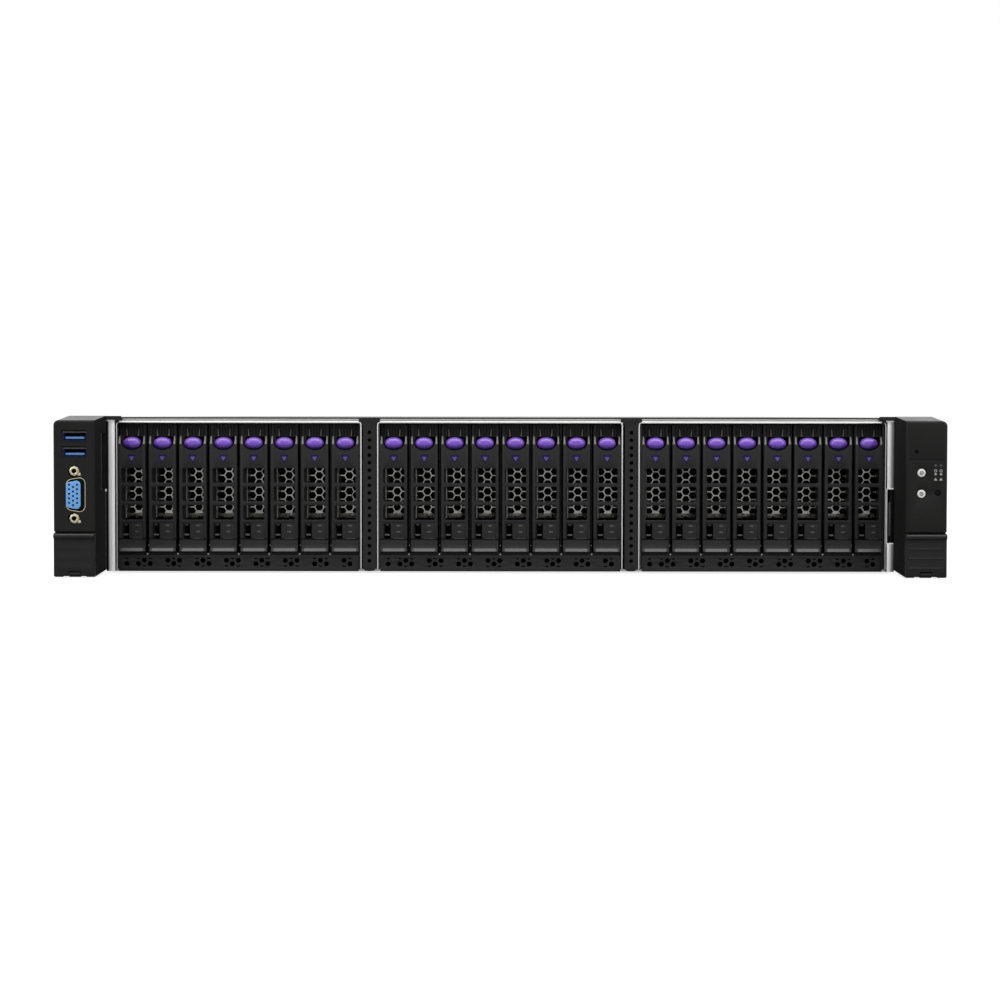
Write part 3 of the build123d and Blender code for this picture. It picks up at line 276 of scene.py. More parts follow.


# %% [markdown]
# The server needs about fifty finishes. They could be made one by one in the shader editor, but as a table
# they can be compared: steel from bright cut edges down to shadowed sheet, black plastic in steps that the
# eye just tells apart, four violets for the light on the release buttons, and the plain colours of ports
# and lamps. Many of them are painted light: the brightest steel edges are painted highlights, the darkest
# steel and some dark sheets are painted shade, and three of the violets are painted highlight and shade.
# The post finishes are painted reflections and shade, and glow a little, because in the photo bare metal
# near the ears is brighter than this studio's reflections make it.

# %% The finishes of this server
SMOOTH = {"bump": 0.02, "gloss": 0.3}
CAP = {"bump": 0.02, "gloss": 0.22, "variation": 0.1}
EAR_GRAIN = 2200.0
M = {
    "zinc": steel("galvanised_steel", (0.56, 0.57, 0.58), gloss=0.38),
    "tub": steel("galvanised_tub", (0.60, 0.61, 0.62), gloss=0.40, contrast=0.05,
                 streaks=(120.0, 4.0, 6.0)),
    # the cages are zinc-plated sheet; this near-black steel on them is painted shade
    "cage": steel("cage_steel_painted_shade", 0.045, gloss=0.55, contrast=0.2),
    "cut_edge": steel("cut_steel_edge", (0.80, 0.80, 0.79), gloss=0.35, contrast=0.04),
    # near-white steel on bare edges, brighter than zinc: a painted highlight
    "edge_painted_highlight": steel("bare_edge_painted_highlight", (0.98, 0.98, 0.97), gloss=0.4, contrast=0.02),
    # grey steel: painted shade on the right post's outer band, painted highlight on the lit edges of the
    # ears' cheeks
    "grey_edge": steel("grey_edge", 0.17, gloss=0.45),
    "shade_edge": steel("shaded_edge", 0.045, gloss=0.5),
    "roll": steel("rolled_edge", (0.44, 0.44, 0.435), gloss=0.42, contrast=0.06),
    "cover": steel("cover_steel", (0.30, 0.305, 0.31), gloss=0.5, contrast=0.06),
    # the posts' bands: painted shade on the flanks, a painted reflection and a painted highlight, each
    # glowing a little
    "painted_side_shade": plastic("post_painted_side_shade", 0.22, variation=0.15, emission=0.2, **SMOOTH),
    "satin": plastic("post_painted_reflection", (0.56, 0.565, 0.565), variation=0.08, emission=0.3, **SMOOTH),
    "painted_highlight": plastic("post_painted_highlight", (0.84, 0.84, 0.835), variation=0.05, emission=0.3, **SMOOTH),
    # a light grey line along the doors' top edges: a painted highlight
    "door_painted_highlight": plastic("door_painted_highlight", (0.17, 0.17, 0.165), specular=0.3, **SMOOTH),
    "foot": plastic("carrier_foot", 0.027, gloss=0.4, specular=0.14),
    "door": plastic("door_plastic", (0.019, 0.019, 0.0187), gloss=0.36, grain=EAR_GRAIN, specular=0.14),
    "grille": steel("grille_steel", (0.60, 0.60, 0.575), gloss=0.34, crystals=170.0, contrast=0.5),
    # darker, noisy steel for the grille's solid foot: painted shade
    "grille_base_painted_shade": steel("grille_base_painted_shade", (0.19, 0.18, 0.155), gloss=0.45, crystals=500.0, contrast=0.9),
    "fold": steel("grille_fold", (0.34, 0.34, 0.325), gloss=0.4, crystals=300.0, contrast=0.5,
                  streaks=(400.0, 160.0, 12.0)),
    "black_steel": plastic("black_painted_steel", 0.0235, gloss=0.42, grain=1400.0, specular=0.14),
    "ear": plastic("ear_plastic", (0.0138, 0.0138, 0.0134), gloss=0.36, grain=EAR_GRAIN, specular=0.14),
    # a lighter copy of the ear plastic for its sloping roof: a painted sheen
    "ear_painted_sheen": plastic("ear_roof_painted_sheen", 0.03, gloss=0.28, grain=EAR_GRAIN, specular=0.6, bump=0.05),
    "cheek": plastic("ear_cheek", (0.0135, 0.0138, 0.0132), gloss=0.75, grain=EAR_GRAIN, specular=0.02),
    "carrier": plastic("carrier_plastic", 0.0235, gloss=0.40, specular=0.14),
    # a lighter copy of the carrier plastic for the side rims of the lip: a painted highlight
    "rim": plastic("painted_rim_highlight", 0.035, gloss=0.35, specular=0.3, bump=0.05),
    "lip": plastic("polished_lip", 0.022, gloss=0.22, specular=0.6, bump=0.05),
    # light grey for the prongs' sloping fronts: a painted highlight
    "prong": plastic("prong_painted_highlight", (0.21, 0.21, 0.20), gloss=0.3, bump=0.05),
    # light grey plastic for the slot's marks and the lever's painted edge highlight
    "contact": plastic("light_grey_mark", 0.10, gloss=0.35, specular=0.4, bump=0.05),
    "finger": plastic("spring_finger", (0.115, 0.105, 0.07), gloss=0.3, bump=0.05),
    # dark plastic and print, and painted shade in the drive tunnel, behind vents, in recesses and holes and
    # beside the posts
    "deep": plastic("dark_plastic_print_and_painted_shade", 0.004, gloss=0.6, specular=0.05),
    "rib": plastic("dark_rib_plastic", 0.009, gloss=0.5, specular=0.1),
    "purple": plastic("release_purple", (0.20, 0.072, 0.60), coat=0.8, **CAP),
    # violets for the release button's painted highlight and painted shade
    "purple_painted_highlight": plastic("release_purple_painted_highlight", (0.245, 0.11, 0.62), coat=0.8, **CAP),
    "purple_painted_shade": plastic("release_purple_painted_shade", (0.095, 0.030, 0.34), coat=0.5, **CAP),
    "purple_painted_dark_shade": plastic("release_purple_painted_dark_shade", (0.032, 0.009, 0.15), variation=0.1, **SMOOTH),
    "mark_rim": plastic("mark_rim", (0.016, 0.009, 0.09), gloss=0.4, specular=0.1, bump=0.02),
    "mark_fill": plastic("mark_fill", (0.12, 0.10, 0.26), gloss=0.4, specular=0.2, bump=0.02),
    "lens": plastic("lamp_lens", 0.10, specular=0.3, **SMOOTH),
    "white": plastic("white_key", (0.80, 0.80, 0.78), gloss=0.25, variation=0.04, bump=0.03),
    "print": plastic("white_print", (0.45, 0.45, 0.44), gloss=0.5, variation=0.1, specular=0.2, bump=0.02),
    "blue": plastic("connector_blue", (0.17, 0.42, 0.84), gloss=0.35, variation=0.1, bump=0.03),
    "tongue": plastic("tongue_blue", (0.10, 0.24, 0.52), gloss=0.35, variation=0.1, bump=0.03),
    # dark navy inside the ports' shells and in the pin holes: painted shade
    "navy": plastic("navy_painted_shade", (0.003, 0.008, 0.055), gloss=0.35, specular=0.2, bump=0.03),
    "brown": steel("dark_port_steel", (0.22, 0.19, 0.15), gloss=0.35),
    "gold": steel("pale_gold_plate", (0.74, 0.68, 0.48), gloss=0.22),
    "fan": plastic("fan_black", 0.012, gloss=0.4),
    "board": plastic("board_green", (0.012, 0.075, 0.030), gloss=0.3, variation=0.5, bump=0.1),
    "sink": steel("sink_aluminium", (0.78, 0.79, 0.80), gloss=0.3, crystals=60.0, contrast=0.06),
    "supply": steel("supply_case", (0.56, 0.57, 0.58), gloss=0.34, crystals=150.0, contrast=0.12),
    "drive": steel("drive_case", (0.62, 0.63, 0.64), gloss=0.36, crystals=90.0, contrast=0.08),
    "memory": plastic("memory_black", (0.012, 0.020, 0.014), gloss=0.35),
}
print("finishes", len(M))

# %% [markdown]
# ## Tools for making pieces
#
# Most pieces of a chassis are plates with outlines and holes. A filled 2D curve makes these
# well: it takes any number of holes, and its bevel rounds every edge, also inside the holes.
# `slab` turns such a curve into a mesh that stands upright and faces the front.

# %% Outlines
def rounded(points, radius, steps=4):
    """An outline with its corners rounded. A point may carry its own radius as a third number."""
    out = []
    for i, point in enumerate(points):
        here = Vector(point[:2])
        before = Vector(points[i - 1][:2]) - here
        after = Vector(points[(i + 1) % len(points)][:2]) - here
        r = point[2] if len(point) > 2 else radius
        half = before.angle(after) / 2
        reach = min(r / max(sin(half) / cos(half), 1e-6), before.length * 0.49, after.length * 0.49)
        if reach < 1e-4 or abs(half - pi / 2) < 1e-3:
            out.append(tuple(here))
            continue
        r = reach * sin(half) / cos(half)
        centre = here + (before.normalized() + after.normalized()).normalized() * (r / sin(half))
        start = here + before.normalized() * reach - centre
        end = here + after.normalized() * reach - centre
        a0, a1 = atan2(start.y, start.x), atan2(end.y, end.x)
        turn = (a1 - a0 + pi) % (2 * pi) - pi
        out += [(centre.x + r * cos(a0 + turn * k / steps), centre.y + r * sin(a0 + turn * k / steps))
                for k in range(steps + 1)]
    return out


def box_outline(x0, x1, z0, z1, radius=0.0, steps=4):
    """A rectangle, with rounded corners if radius is given."""
    corners = [(x0, z0), (x1, z0), (x1, z1), (x0, z1)]
    return rounded(corners, radius, steps) if radius else corners

def centred_box(x, z, width, height, inset=0.0, radius=0.0, steps=4):
    """A rectangle round its middle, with every side moved inwards by inset."""
    w, h = width / 2 - inset, height / 2 - inset
    return box_outline(x - w, x + w, z - h, z + h, radius, steps)


def circle_outline(x, z, radius, sides=24):
    """A regular many-sided outline round a point."""
    angles = [2 * pi * k / sides for k in range(sides)]
    return [(x + radius * cos(a), z + radius * sin(a)) for a in angles]


# %% Upright and sideways plates
def settled(obj):
    """The mesh that an object shows with its bevels and modifiers. The object itself goes."""
    data = bpy.data.meshes.new_from_object(obj.evaluated_get(bpy.context.evaluated_depsgraph_get()))
    bpy.data.objects.remove(obj)
    return data


def slab(loops, front, back, edge=0.0):
    """A plate from y = front to back. The first outline in (x, z) is outside, the others are holes."""
    curve = bpy.data.curves.new("outline", "CURVE")
    curve.dimensions = "2D"
    curve.fill_mode = "BOTH"
    for loop in loops:
        spline = curve.splines.new("POLY")
        spline.points.add(len(loop) - 1)
        for point, (x, z) in zip(spline.points, loop):
            point.co = (x, z, 0.0, 1.0)
        spline.use_cyclic_u = True
    curve.extrude = (back - front) / 2 - edge
    curve.bevel_depth = edge
    curve.bevel_resolution = 1
    curve.offset = -edge
    data = settled(in_scene("outline", curve))
    bpy.data.curves.remove(curve)
    data.transform(Matrix.Translation((0.0, (front + back) / 2, 0.0)) @ Matrix.Rotation(pi / 2, 4, "X"))
    return data


def ring(x, z, outer, inner, front, back, sides=28):
    """A flat ring that faces the front."""
    return slab([circle_outline(x, z, outer, sides), circle_outline(x, z, inner, sides)], front, back)


def side_slab(loops, x0, x1, edge=0.0):
    """A plate from x0 to x1, with its outlines in (y, z)."""
    data = slab(loops, -x1, -x0, edge)
    data.transform(Matrix.Rotation(pi / 2, 4, "Z"))
    return data


def flat_slab(loops, z0, z1, edge=0.0):
    """A plate from z0 to z1, with its outlines in (x, y)."""
    data = slab(loops, -z1, -z0, edge)
    data.transform(Matrix.Rotation(-pi / 2, 4, "X"))
    return data


def bar(x0, x1, y0, y1, z0, z1, edge=0.0):
    """A block between two corners, with its edges eased."""
    return slab([box_outline(x0, x1, z0, z1)], y0, y1, edge)


# %% [markdown]
# A finished piece is one mesh at the origin. `piece` joins the meshes of a piece, each with its
# own finish, closes their seams, turns all faces outwards and keeps edges sharper than 30 degrees
# crisp while the rest is shaded smooth. Then it hands the piece to its body in the frame.

# %% Joining, shading and riding
SHARP = radians(30.0)

def opened(data, dist=1e-4):
    """A mesh opened for editing, with its double corners merged."""
    bm = bmesh.new()
    bm.from_mesh(data)
    bmesh.ops.remove_doubles(bm, verts=bm.verts, dist=dist)
    return bm


def written(bm, data):
    """The mesh after an edit."""
    bm.to_mesh(data)
    bm.free()
    return data


def tidy(data):
    """Merge doubles, face outwards and mark sharp edges."""
    bm = opened(data)
    bmesh.ops.recalc_face_normals(bm, faces=bm.faces)
    for face in bm.faces:
        face.smooth = True
    for edge in bm.edges:
        edge.smooth = len(edge.link_faces) == 2 and edge.calc_face_angle(0.0) < SHARP
    return written(bm, data)


def merged(parts):
    """One mesh in drawing units from (mesh, finish name) pairs."""
    whole = bpy.data.meshes.new("merged")
    bm = bmesh.new()
    for data, finish_name in parts:
        if M[finish_name].name not in whole.materials:
            whole.materials.append(M[finish_name])
        index = whole.materials.find(M[finish_name].name)
        first = len(bm.faces)
        bm.from_mesh(tidy(data))
        bm.faces.ensure_lookup_table()
        for face in bm.faces[first:]:
            face.material_index = index
    return written(bm, whole)


def repainted(data, finish_name, test):
    """The same mesh with another finish on the faces that pass a test."""
    data.materials.append(M[finish_name])
    for face in data.polygons:
        if test(face):
            face.material_index = len(data.materials) - 1
    return data


def piece(name, parts, body, replaced=(), shift=0.0):
    """A finished piece of the server, moved along X by shift, into the frame and onto its body."""
    data = merged(parts) if isinstance(parts, list) else parts.copy()
    data.name = name
    data.transform(TO_FRAME @ Matrix.Translation((shift, 0.0, 0.0)))
    obj = in_scene(name, data)
    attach(obj, body)
    if replaced:
        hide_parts(*replaced)
    return obj


# %% [markdown]
# ## Geometry Nodes for what repeats
#
# Sheet metal is pierced in regular patterns. One tree cuts any plate with a grid of holes: a Grid
# gives the places, every second column can be shifted by half a step for a honeycomb, a many-sided
# cylinder is the punch, and a Boolean takes the punches out of the plate. The same tree makes the
# hexagons behind the windows, the round holes of the trim and the vents at the rear.

# %% A tree that pierces a plate
GEOMETRY, WHOLE = "NodeSocketGeometry", "NodeSocketInt"
PUNCH_DEPTH = 30.0


def make_piercing_tree():
    """Cuts a grid of holes through the plate that the modifier sits on."""
    tree, given, result = new_group(
        "pierced_plate", "GeometryNodeTree",
        [("Plate", GEOMETRY), ("Columns", WHOLE), ("Rows", WHOLE), ("Column Step", FLOAT),
         ("Row Step", FLOAT), ("Stagger", FLOAT), ("Middle", VECTOR), ("Radius", FLOAT), ("Sides", WHOLE)],
        [("Geometry", GEOMETRY)])
    get = given.outputs

    def span(count, step):
        return maths(tree, "MULTIPLY", maths(tree, "SUBTRACT", count, 1.0), step)

    grid = add(tree, "GeometryNodeMeshGrid", {
        "Size X": span(get["Columns"], get["Column Step"]), "Size Y": span(get["Rows"], get["Row Step"]),
        "Vertices X": get["Columns"], "Vertices Y": get["Rows"]})
    index = add(tree, "GeometryNodeInputIndex").outputs[0]
    column = maths(tree, "FLOOR", maths(tree, "DIVIDE", index, get["Rows"]))
    lift = maths(tree, "MULTIPLY", maths(tree, "MODULO", column, 2.0), get["Stagger"])
    offset = add(tree, "ShaderNodeCombineXYZ", {"Y": lift}).outputs[0]
    moved = add(tree, "GeometryNodeSetPosition", {"Geometry": grid.outputs["Mesh"], "Offset": offset})
    upright = add(tree, "GeometryNodeTransform", {
        "Geometry": moved.outputs[0], "Rotation": (pi / 2, 0.0, 0.0), "Translation": get["Middle"]})
    punch = add(tree, "GeometryNodeMeshCylinder", {
        "Vertices": get["Sides"], "Radius": get["Radius"], "Depth": PUNCH_DEPTH})
    turned = add(tree, "GeometryNodeTransform", {
        "Geometry": punch.outputs["Mesh"], "Rotation": (pi / 2, 0.0, 0.0)})
    copies = add(tree, "GeometryNodeInstanceOnPoints", {
        "Points": upright.outputs[0], "Instance": turned.outputs[0]})
    punches = add(tree, "GeometryNodeRealizeInstances", {0: copies.outputs[0]})
    cut = add(tree, "GeometryNodeMeshBoolean", {"Mesh 1": get["Plate"], "Mesh 2": punches.outputs[0]},
              operation="DIFFERENCE")
    real = add(tree, "GeometryNodeRealizeInstances", {0: cut.outputs["Mesh"]})
    tree.links.new(real.outputs[0], result.inputs["Geometry"])
    return tree


PIERCING = make_piercing_tree()
print("tree", PIERCING.name)

# %% [markdown]
# Pins, ribs and tips repeat without cutting anything. A second, smaller tree puts a copy of one
# mesh on every point of another. An Array modifier would do for one straight row, but points may
# stand anywhere, and both trees leave plain meshes behind.

# %% A tree that repeats a small mesh on given points
def make_copies_tree():
    """Puts a copy of a mesh on every vertex of the mesh that the modifier sits on."""
    tree, given, result = new_group(
        "copies_on_points", "GeometryNodeTree",
        [("Points", GEOMETRY), ("Pattern", "NodeSocketObject")], [("Geometry", GEOMETRY)])
    shape = add(tree, "GeometryNodeObjectInfo", {"Object": given.outputs["Pattern"]})
    copies = add(tree, "GeometryNodeInstanceOnPoints", {
        "Points": given.outputs["Points"], "Instance": shape.outputs["Geometry"]})
    real = add(tree, "GeometryNodeRealizeInstances", {0: copies.outputs[0]})
    tree.links.new(real.outputs[0], result.inputs["Geometry"])
    return tree


COPIES = make_copies_tree()
print("tree", COPIES.name)


# %% Running a tree and keeping its result as a plain mesh
def grown(tree, base, values):
    """The mesh that a tree makes of a base mesh. values names the tree's inputs."""
    holder = in_scene("holder", base)
    modifier = holder.modifiers.new("tree", "NODES")
    modifier.node_group = tree
    sockets = {s.name: s.identifier for s in tree.interface.items_tree if s.in_out == "INPUT"}
    for label, value in values.items():
        modifier[sockets[label]] = value
    holder.update_tag()
    return settled(holder)


def pierced(plate, columns, rows, step, middle, radius, sides, stagger=0.0):
    """A plate with a grid of holes; step is (column step, row step)."""
    return grown(PIERCING, tidy(plate), {
        "Columns": columns, "Rows": rows, "Column Step": step[0], "Row Step": step[1],
        "Stagger": stagger, "Middle": middle, "Radius": radius, "Sides": sides})


def repeated(shape, points):
    """A copy of a small mesh on every point."""
    dots = bpy.data.meshes.new("dots")
    dots.from_pydata([tuple(p) for p in points], [], [])
    pattern = in_scene("pattern", tidy(shape))
    data = grown(COPIES, dots, {"Pattern": pattern})
    bpy.data.objects.remove(pattern)
    return data

# %% [markdown]
# ## Drive carriers
#
# Each carrier shows a lever panel with three windows, a notch for the release button and a slot
# at its foot, all in dark grey plastic. The panel lies in a shallow frame: rims run down both
# sides, and the lower part between them is sunk. So it is drawn as a frame with openings and a
# thinner floor let into it, which is how light finds the edges.

# %% Places of the carriers
BAYS = range(1, 25)


def bay_x(number):
    """Middle of a bay across the chassis, read from the carrier's own node."""
    low, high = drawn_box(f"drive_carrier_{number:02d}")
    return (low.x + high.x) / 2


BAY_X = {n: bay_x(n) for n in BAYS}
print("bay pitch", round(BAY_X[2] - BAY_X[3], 2), "first", round(BAY_X[1], 1))

# %% Sizes of the lever panel
lever_low, lever_high = drawn_box("carrier_lever_01")
PANEL_HALF = (lever_high.x - lever_low.x) / 2
PANEL_TOP = lever_high.z
PANEL_FOOT = 19.4
PANEL_T = 2.4
PANEL_EDGE = 0.16
RIM_X = 6.0                  # inner side of the rims
SUNK = 0.4                   # depth of the floor between them
SUNK_TOP = 28.5
SLOT = (-5.5, -1.7, 27.8)    # left, right and top of the slot at the foot
NOTCH_HALF = 6.2
NOTCH_Z = 73.4               # middle of the button's notch
NOTCH_DROP = 4.8
PRONG_X = 6.75               # the prongs stand beside the button
PRONG_Z = 71.8               # they lean back from here
PRONG_LEAN = 1.7
PRONG_HALF = (0.55, 0.2)     # half width of the painted highlight on each slope, at its foot and at its tip
WINDOW_HALF = 5.85
WINDOW_H = 8.2
WINDOW_STEP = 10.3
WINDOW_TOP = 58.6
WINDOW_R = 0.9


# %% Lever panel
def notch_points(steps=14):
    """The round notch under the button, from its right end to its left end."""
    angles = [pi * k / steps for k in range(steps + 1)]
    return [(NOTCH_HALF * cos(a), NOTCH_Z - NOTCH_DROP * sin(a)) for a in angles]


def lean_prongs(data):
    """Slope the front of the two prongs backwards, towards their tips."""
    bm = opened(data)
    geometry = bm.verts[:] + bm.edges[:] + bm.faces[:]
    bmesh.ops.bisect_plane(bm, geom=geometry, plane_co=(0.0, 0.0, PRONG_Z), plane_no=(0.0, 0.0, 1.0))
    for vert in bm.verts:
        if vert.co.z > PRONG_Z and vert.co.y < PANEL_T / 2:
            vert.co.y += PRONG_LEAN * (vert.co.z - PRONG_Z) / (PANEL_TOP - PRONG_Z)
    return written(bm, data)


def prong_faces():
    """A painted highlight on the sloping front of each of the two prongs, wider at its foot."""
    faces = []
    for x in (-PRONG_X, PRONG_X):
        foot, tip = PRONG_HALF
        outline = [(x - foot, PRONG_Z + 0.3), (x + foot, PRONG_Z + 0.3), (x + tip, PANEL_TOP - 0.1),
                   (x - tip, PANEL_TOP - 0.1)]
        faces.append((lean_prongs(slab([outline], -0.06, 0.3)), "prong"))
    return faces


def slot_contacts():
    """Small light grey marks at the top and the foot of the slot."""
    x, front, back = (SLOT[0] + SLOT[1]) / 2, PANEL_T - 0.8, PANEL_T - 0.3
    return [(bar(x - 0.9, x + 0.9, front, back, SLOT[2] - 1.1, SLOT[2] - 0.3, 0.1), "lens"),
            (bar(x - 1.3, x + 1.3, front, back, 21.0, 21.9, 0.1), "contact")]


def lever_panel():
    """The frame with three windows, the sunk floor with the slot, a painted highlight along its lower edge,
    and painted highlights on the prongs' slopes.
    """
    outline = [(-PANEL_HALF, PANEL_FOOT), (-RIM_X, PANEL_FOOT), (-RIM_X, SUNK_TOP), (RIM_X, SUNK_TOP),
               (RIM_X, PANEL_FOOT), (PANEL_HALF, PANEL_FOOT), (PANEL_HALF, PANEL_TOP, 0.5),
               (NOTCH_HALF, PANEL_TOP), *notch_points(),
               (-NOTCH_HALF, PANEL_TOP), (-PANEL_HALF, PANEL_TOP, 0.5)]
    tops = [WINDOW_TOP - k * WINDOW_STEP for k in range(3)]
    windows = [box_outline(-WINDOW_HALF, WINDOW_HALF, top - WINDOW_H, top, WINDOW_R) for top in tops]
    face = lean_prongs(slab([rounded(outline, 0.25, 2)] + windows, 0.0, PANEL_T, PANEL_EDGE))
    floor = [(-RIM_X, PANEL_FOOT), (SLOT[0], PANEL_FOOT), (SLOT[0], SLOT[2], 0.4), (SLOT[1], SLOT[2], 0.4),
             (SLOT[1], PANEL_FOOT), (RIM_X, PANEL_FOOT), (RIM_X, SUNK_TOP), (-RIM_X, SUNK_TOP)]
    sunk = slab([rounded(floor, 0.0, 2)], SUNK, PANEL_T, 0.1)
    # a light grey line along the lever's lower edge: a painted highlight
    lever_edge_highlight = bar(SLOT[1] + 1.6, RIM_X - 0.3, SUNK - 0.12, SUNK + 0.2, PANEL_FOOT, PANEL_FOOT + 0.22)
    return [(face, "carrier"), (sunk, "foot"), (lever_edge_highlight, "contact")] + prong_faces() + slot_contacts()


# %% [markdown]
# On the real panel the arrow is printed and the lamps are clear plastic pressed into two slits. A
# texture could carry both, but thin solids stay sharp at any distance: the arrow is a small
# triangle on a larger one, and each lamp is a low rounded block.

# %% Marks and lamps on the panel
MARK_Z = 63.7
MARK_HALF = 2.6
MARK_H = 4.7
MARK_FILL = 0.55             # size of the pale triangle inside the dark one
LAMP_X = 2.7
LAMP_Z = (26.6, 23.2)
LAMP_SIZE = (2.2, 0.7)


def arrow(size, front):
    """A triangle that points down, as a thin raised print."""
    half, height = MARK_HALF * size, MARK_H * size
    corners = [(-half, MARK_Z + height / 2), (0.0, MARK_Z - height / 2), (half, MARK_Z + height / 2)]
    return slab([rounded(corners, 0.25)], front, 0.1)


def panel_marks():
    """Arrow mark and the two lamp lenses."""
    marks = [(arrow(1.0, -0.05), "mark_rim"), (arrow(MARK_FILL, -0.09), "mark_fill")]
    for z in LAMP_Z:
        outline = centred_box(LAMP_X, z, *LAMP_SIZE, radius=0.3, steps=3)
        marks.append((slab([outline], SUNK - 0.08, SUNK + 0.3, 0.05), "lens"))
    return marks


PANEL = merged(lever_panel() + panel_marks())
print("lever panel", len(PANEL.polygons), "faces")

# %% [markdown]
# The release button is a glossy violet cap, oval from the front and domed, with a bright crown
# where the lamp above it is mirrored. A dome like this is a lathe job: rings of one oval outline
# shrink towards the crown as their depth follows a quarter circle.

# %% Release button
button_low, button_high = drawn_box("carrier_button_01")
BUTTON_HALF_X = (button_high.x - button_low.x) / 2
BUTTON_HALF_Z = (button_high.z - button_low.z) / 2
BUTTON_Z = (button_high.z + button_low.z) / 2 - 0.9
BUTTON_SHRINK = 0.955        # the dome is a little lower than the CAD node's block
BUTTON_SIDES = 40
BUTTON_RINGS = 10
BUTTON_EDGE_Y = 1.5
BUTTON_CROWN_Y = -1.5
BUTTON_SQUARE = 2.1          # 2 is an ellipse, more is squarer
BUTTON_FLAT = 2.25           # the same for the section of the dome


def oval(a, half_x, half_z):
    """A point of a slightly squared ellipse."""
    power = 2.0 / BUTTON_SQUARE
    x = abs(cos(a)) ** power * half_x
    z = abs(sin(a)) ** power * half_z
    return (x if cos(a) > 0 else -x), (z if sin(a) > 0 else -z)


def release_button(back):
    """Domed oval cap with a straight skirt back to its seat."""
    rings = [(back, 1.0), (BUTTON_EDGE_Y, 1.0)]
    for k in range(1, BUTTON_RINGS):
        a = pi / 2 * k / BUTTON_RINGS
        rise, size = sin(a) ** (2.0 / BUTTON_FLAT), cos(a) ** (2.0 / BUTTON_FLAT)
        rings.append((BUTTON_EDGE_Y + (BUTTON_CROWN_Y - BUTTON_EDGE_Y) * rise, size))
    n = BUTTON_SIDES
    verts = []
    for y, size in rings:
        for s in range(n):
            x, z = oval(2 * pi * (s + 0.5) / n, BUTTON_HALF_X * size, BUTTON_HALF_Z * BUTTON_SHRINK * size)
            verts.append((x, y, BUTTON_Z + z))
    faces = []
    for r in range(0, (len(rings) - 1) * n, n):
        faces += [(r + s, r + (s + 1) % n, r + n + (s + 1) % n, r + n + s) for s in range(n)]
    faces.append(tuple(range(n)))
    last, crown = (len(rings) - 1) * n, len(verts)
    verts.append((0.0, BUTTON_CROWN_Y, BUTTON_Z))
    faces += [(last + s, last + (s + 1) % n, crown) for s in range(n)]
    data = bpy.data.meshes.new("button")
    data.from_pydata(verts, [], faces)
    return data


# painted light on the dome: a painted highlight above its middle, painted shade below it, darkest at its
# foot
BUTTON_PAINTED_LIGHT = ((1.5, "purple_painted_highlight"), (-0.9, "purple_painted_shade"), (-2.1, "purple_painted_dark_shade"))
PAINTED_LIGHT_SAG = 0.02              # the lines between the painted highlight and the painted shades bend with the dome


def painted_button_light(data, lift, finish_name):
    """Painted light on the part of the dome beyond a line: a highlight above its middle, shade below it."""
    def beyond(face):
        rise = face.center.z - BUTTON_Z - PAINTED_LIGHT_SAG * face.center.x ** 2
        return face.center.y < BUTTON_EDGE_Y and (rise > lift if lift > 0 else rise < lift)
    return repainted(data, finish_name, beyond)


BUTTON = merged([(release_button(button_high.y), "purple")])
for lift, finish_name in BUTTON_PAINTED_LIGHT:
    BUTTON = painted_button_light(BUTTON, lift, finish_name)
print("button", len(BUTTON.polygons), "faces")

# %% [markdown]
# Behind the windows stands a steel grille of hexagonal cells. It sits some way back, which is why the cells
# shift sideways against their windows from one end of the chassis to the other. The piercing tree makes it,
# with every second column half a step lower. The lower margin is solid and darkened as painted shade, and
# the left margin is folded forward.

# %% Hexagonal grille
GRILLE_X = (-3.95, 6.6)
GRILLE_Z = (30.4, 60.8)
GRILLE_T = 0.6
GRILLE_FOOT_TOP = 32.9       # the solid margin at the foot is darkened as painted shade
HEX_STEP = 4.46
HEX_WEB = 0.62
HEX_COLUMN = HEX_STEP * cos(pi / 6)
HEX_MIDDLE_X = 1.25
HEX_LOWEST = 36.3            # lowest cell of the middle column
HEX_ROWS = 6
FOLD_DEPTH = 7.5
FOLD_OUT = 1.05


def grille(front):
    """The pierced plate, its solid foot darkened as painted shade, and its slanting folded margin."""
    x, y = GRILLE_X[0], front + GRILLE_T
    plate = bar(*GRILLE_X, front, y, *GRILLE_Z)
    foot = bar(x + 0.1, GRILLE_X[1], front - 0.15, front, GRILLE_Z[0], GRILLE_FOOT_TOP, 0.05)
    middle_z = HEX_LOWEST + HEX_STEP * (HEX_ROWS - 1) / 2 - HEX_STEP / 2
    radius = (HEX_STEP - HEX_WEB) / 2 / cos(pi / 6)
    cells = pierced(plate, 3, HEX_ROWS, (HEX_COLUMN, HEX_STEP), (HEX_MIDDLE_X, front, middle_z), radius, 6,
                    stagger=HEX_STEP / 2)
    corners = [(x, y), (x - FOLD_OUT, y - FOLD_DEPTH), (x - FOLD_OUT + 0.5, y - FOLD_DEPTH),
               (x + 0.5, y - 0.2)]
    fold = flat_slab([corners], *GRILLE_Z)
    return [(cells, "grille"), (foot, "grille_base_painted_shade"), (fold, "fold")]


GRILLE_FRONT = 17.2
GRILLE = merged(grille(GRILLE_FRONT))
print("grille", len(GRILLE.polygons), "faces")

# %% [markdown]
# The sled is the carrier's body. Seen from the front it is a deep dark tunnel with a head above
# the button, ribbed like the real one, and a foot under the lever whose lip flares forward and
# catches the light. A side tray holds the drive, and two bright spring fingers touch the cage.

